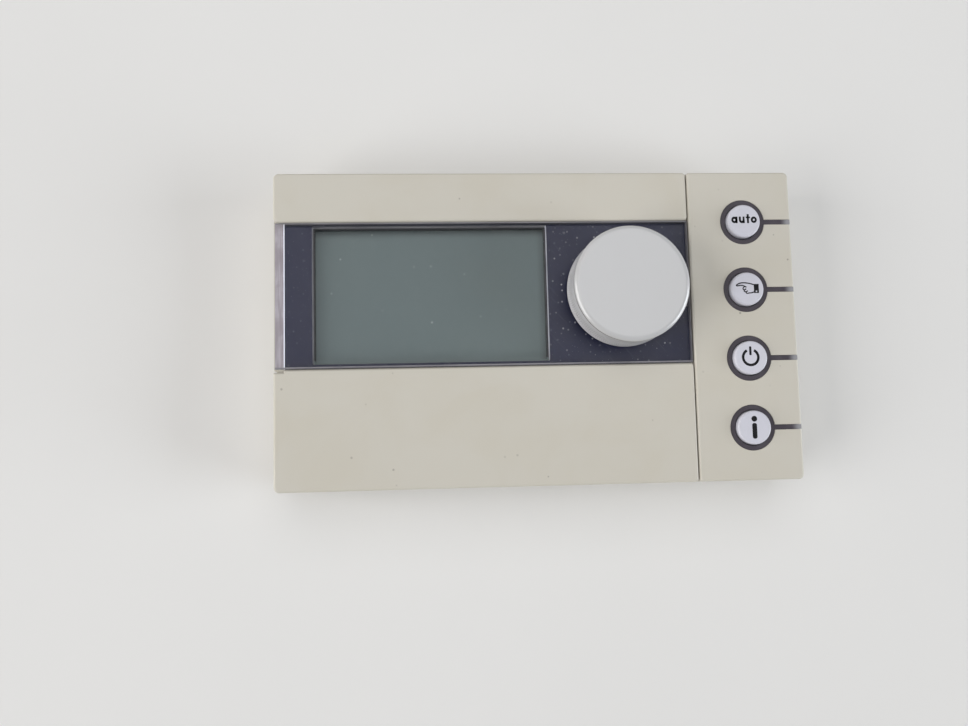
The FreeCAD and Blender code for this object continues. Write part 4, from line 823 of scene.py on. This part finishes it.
def makeWord():
    # four round letters, left to right; the t is the tall one
    word = {"base": -0.68 * mm, "high": 1.26 * mm, "tall": 1.98 * mm, "stroke": 0.66 * mm,
            "squash": 0.92, "bowlA": -2.88 * mm, "stemA": (-2.52 * mm, -1.94 * mm),
            "bowlU": -0.66 * mm, "turnU": 0.84 * mm, "joinU": 0.82 * mm,
            "leftU": (-1.5 * mm, -0.92 * mm), "rightU": (-0.4 * mm, 0.18 * mm),
            "stemT": (0.88 * mm, 1.46 * mm), "armsT": (0.56 * mm, 1.8 * mm), "armTall": 0.5 * mm,
            "bowlO": 2.91 * mm}
    base, high, stroke = word["base"], word["high"], word["stroke"]
    middle, bowl = (base + high) / 2, (high - base) / 2

    def bar(across, low, top):
        return barBit((across[0], low), (across[1], top))

    bits = [ringBit(bowl, stroke, (word["bowlA"], middle), word["squash"]),
            bar(word["stemA"], base, high),
            ringBit(word["turnU"], stroke, (word["bowlU"], base + word["turnU"]),
                    keep=lambda spot: spot.y < 0),
            bar(word["leftU"], base + word["joinU"], high),
            bar(word["rightU"], base, high),
            bar(word["stemT"], base, word["tall"]),
            bar(word["armsT"], high - word["armTall"], high),
            ringBit(bowl, stroke, (word["bowlO"], middle), word["squash"])]
    setSign("auto_sign", bits, "auto_button", "auto_press")


def makeHand():
    # pointing hand in outline with a dark cuff; points in millimetres from the cap's middle
    hand = {"line": 0.34 * mm,
            "cuff": [((1.85, -1.3), (2.36, 1.35)), ((2.78, -1.3), (3.3, 1.35)),
                     ((2.36, -0.58), (2.78, 1.35)), ((2.36, -1.3), (2.78, -1.0))],
            "back": [(1.9, 1.15), (1.25, 1.36), (0.25, 1.6), (-0.95, 1.76), (-2.0, 1.7),
                     (-2.85, 1.4), (-3.35, 1.0), (-3.1, 0.8), (-2.35, 0.95), (-1.65, 1.0),
                     (-1.15, 0.9)],
            "curled": [(-1.15, 0.9), (-0.85, 0.7), (-1.15, 0.44), (-1.4, 0.1), (-1.25, -0.22),
                       (-1.0, -0.36), (-1.08, -0.62), (-0.84, -0.86), (-0.56, -0.92), (-0.5, -1.24),
                       (-0.12, -1.42), (0.45, -1.24), (1.15, -1.26), (1.9, -0.95)],
            "creases": [[(-1.0, -0.36), (-0.72, -0.28), (-0.48, 0.0)],
                        [(-0.56, -0.92), (-0.28, -0.8), (0.0, -0.6)],
                        [(-0.85, 0.7), (-0.55, 0.62), (-0.35, 0.36)]]}
    bits = [barBit([part * mm for part in low], [part * mm for part in high])
            for low, high in hand["cuff"]]
    bits += [lineBit(points, hand["line"])
             for points in [hand["back"], hand["curled"]] + hand["creases"]]
    setSign("hand_sign", bits, "manual_button", "manual_press")


def makePower():
    power = {"radius": 2.6 * mm, "stroke": 0.74 * mm, "open": math.radians(27),
             "centre": (-0.15 * mm, 0.08 * mm), "barLow": (-0.5 * mm, 0.68 * mm),
             "barHigh": (0.16 * mm, 3.22 * mm), "barRound": 0.2 * mm}
    ring = ringBit(power["radius"], power["stroke"], power["centre"],
                   keep=lambda spot: abs(math.atan2(spot.x, spot.y)) > power["open"])
    bar = barBit(power["barLow"], power["barHigh"], power["barRound"])
    setSign("power_sign", [ring, bar], "standby_button", "standby_press")


def makeInfo():
    info = {"across": -0.07 * mm, "dot": 0.82 * mm, "dotSides": 32, "dotUp": 2.46 * mm,
            "half": 0.68 * mm, "low": -3.2 * mm, "high": 1.25 * mm, "round": 0.58 * mm}
    dot = discBit(info["dot"], info["dotSides"], (info["across"], info["dotUp"]))
    settle(dot)
    stem = barBit((info["across"] - info["half"], info["low"]),
                  (info["across"] + info["half"], info["high"]), info["round"])
    setSign("info_sign", [dot, stem], "info_button", "info_press")


makeWord()
makeHand()
makePower()
makeInfo()
print("signs set on four caps")


# stage: pale sheet behind the object, soft lamps, camera

def makeStage():
    stage = {"size": 6.0, "behind": 0.3 * mm, "colour": (0.8, 0.795, 0.785),
             "aged": (0.788, 0.783075, 0.773225), "smudgeScale": 6.0, "rough": 0.9, "specular": 0.1}
    clearSelection()
    bpy.ops.mesh.primitive_plane_add(size=stage["size"], location=(0, stage["behind"], 0),
                                     rotation=(math.pi / 2, 0, 0))
    sheet = takeNew("pale_sheet")
    material, tree, shader, place = newMaterial("paleSheet")
    smudge = placeGroup(tree, smudgeGroup, place, Scale=stage["smudgeScale"])
    paint(tree, shader, blendColour(tree, smudge, stage["colour"], stage["aged"]))
    shader.inputs["Roughness"].default_value = stage["rough"]
    shader.inputs["Specular IOR Level"].default_value = stage["specular"]
    # seen from behind the sheet is not there, and lamplight passes it, so the object's back shows
    behind = tree.nodes.new("ShaderNodeNewGeometry").outputs["Backfacing"]
    shadow = tree.nodes.new("ShaderNodeLightPath").outputs["Is Shadow Ray"]
    letThrough(tree, shader, mathNode(tree, "MAXIMUM", behind, shadow))
    dressWith(sheet, material)


def makeLight():
    light = {"world": 0.23, "sky": (1.0, 0.99, 0.985), "lamps": {
        "frontLamp": {"spot": (-0.1, -1.25, 0.5), "size": 1.45, "power": 7.0,
                      "colour": (1.0, 1.0, 1.0)},
        "leftLamp": {"spot": (-2.0, -0.9, -0.45), "size": 1.9, "power": 41.0,
                     "colour": (1.0, 0.985, 0.965)},
        "rightLamp": {"spot": (2.0, -0.65, -0.42), "size": 1.25, "power": 30.0,
                      "colour": (0.92, 0.96, 1.0)},
        "backLamp": {"spot": (0.2, 1.6, 0.35), "size": 1.2, "power": 24.0,
                     "colour": (1.0, 1.0, 1.0)}}}
    world = bpy.data.worlds.new("studioWorld")
    world.use_nodes = True
    backing = world.node_tree.nodes["Background"]
    backing.inputs["Color"].default_value = opaque(light["sky"])
    backing.inputs["Strength"].default_value = light["world"]
    scene.world = world
    for name, values in light["lamps"].items():
        clearSelection()
        bpy.ops.object.light_add(type="AREA", location=values["spot"])
        lamp = takeNew(name)
        lamp.data.size = values["size"]
        lamp.data.energy = values["power"]
        lamp.data.color = values["colour"]
        lamp.rotation_euler = (-Vector(values["spot"])).to_track_quat("-Z", "Y").to_euler()
        lamp.visible_camera = False


def makeCamera():
    shot = {"place": (-0.033323, -0.264432, -0.033038), "look": (0.069392, 0.993218, 0.093289),
            "up": (0.017525, -0.094714, 0.99535), "focalPixels": 871.152, "widthPixels": 968,
            "sensor": 36, "nearest": 0.005}
    clearSelection()
    bpy.ops.object.camera_add()
    camera = takeNew("photoCamera")
    forward = Vector(shot["look"]).normalized()
    upward = Vector(shot["up"]).normalized()
    across = forward.cross(upward).normalized()
    upward = across.cross(forward).normalized()
    turn = Matrix((across, upward, -forward)).transposed()
    camera.matrix_world = Matrix.Translation(shot["place"]) @ turn.to_4x4()
    camera.data.sensor_fit = "HORIZONTAL"
    camera.data.sensor_width = shot["sensor"]
    camera.data.lens = shot["sensor"] * shot["focalPixels"] / shot["widthPixels"]
    camera.data.clip_start = shot["nearest"]
    scene.camera = camera


makeStage()
makeLight()
makeCamera()
print("stage, lamps and camera ready")
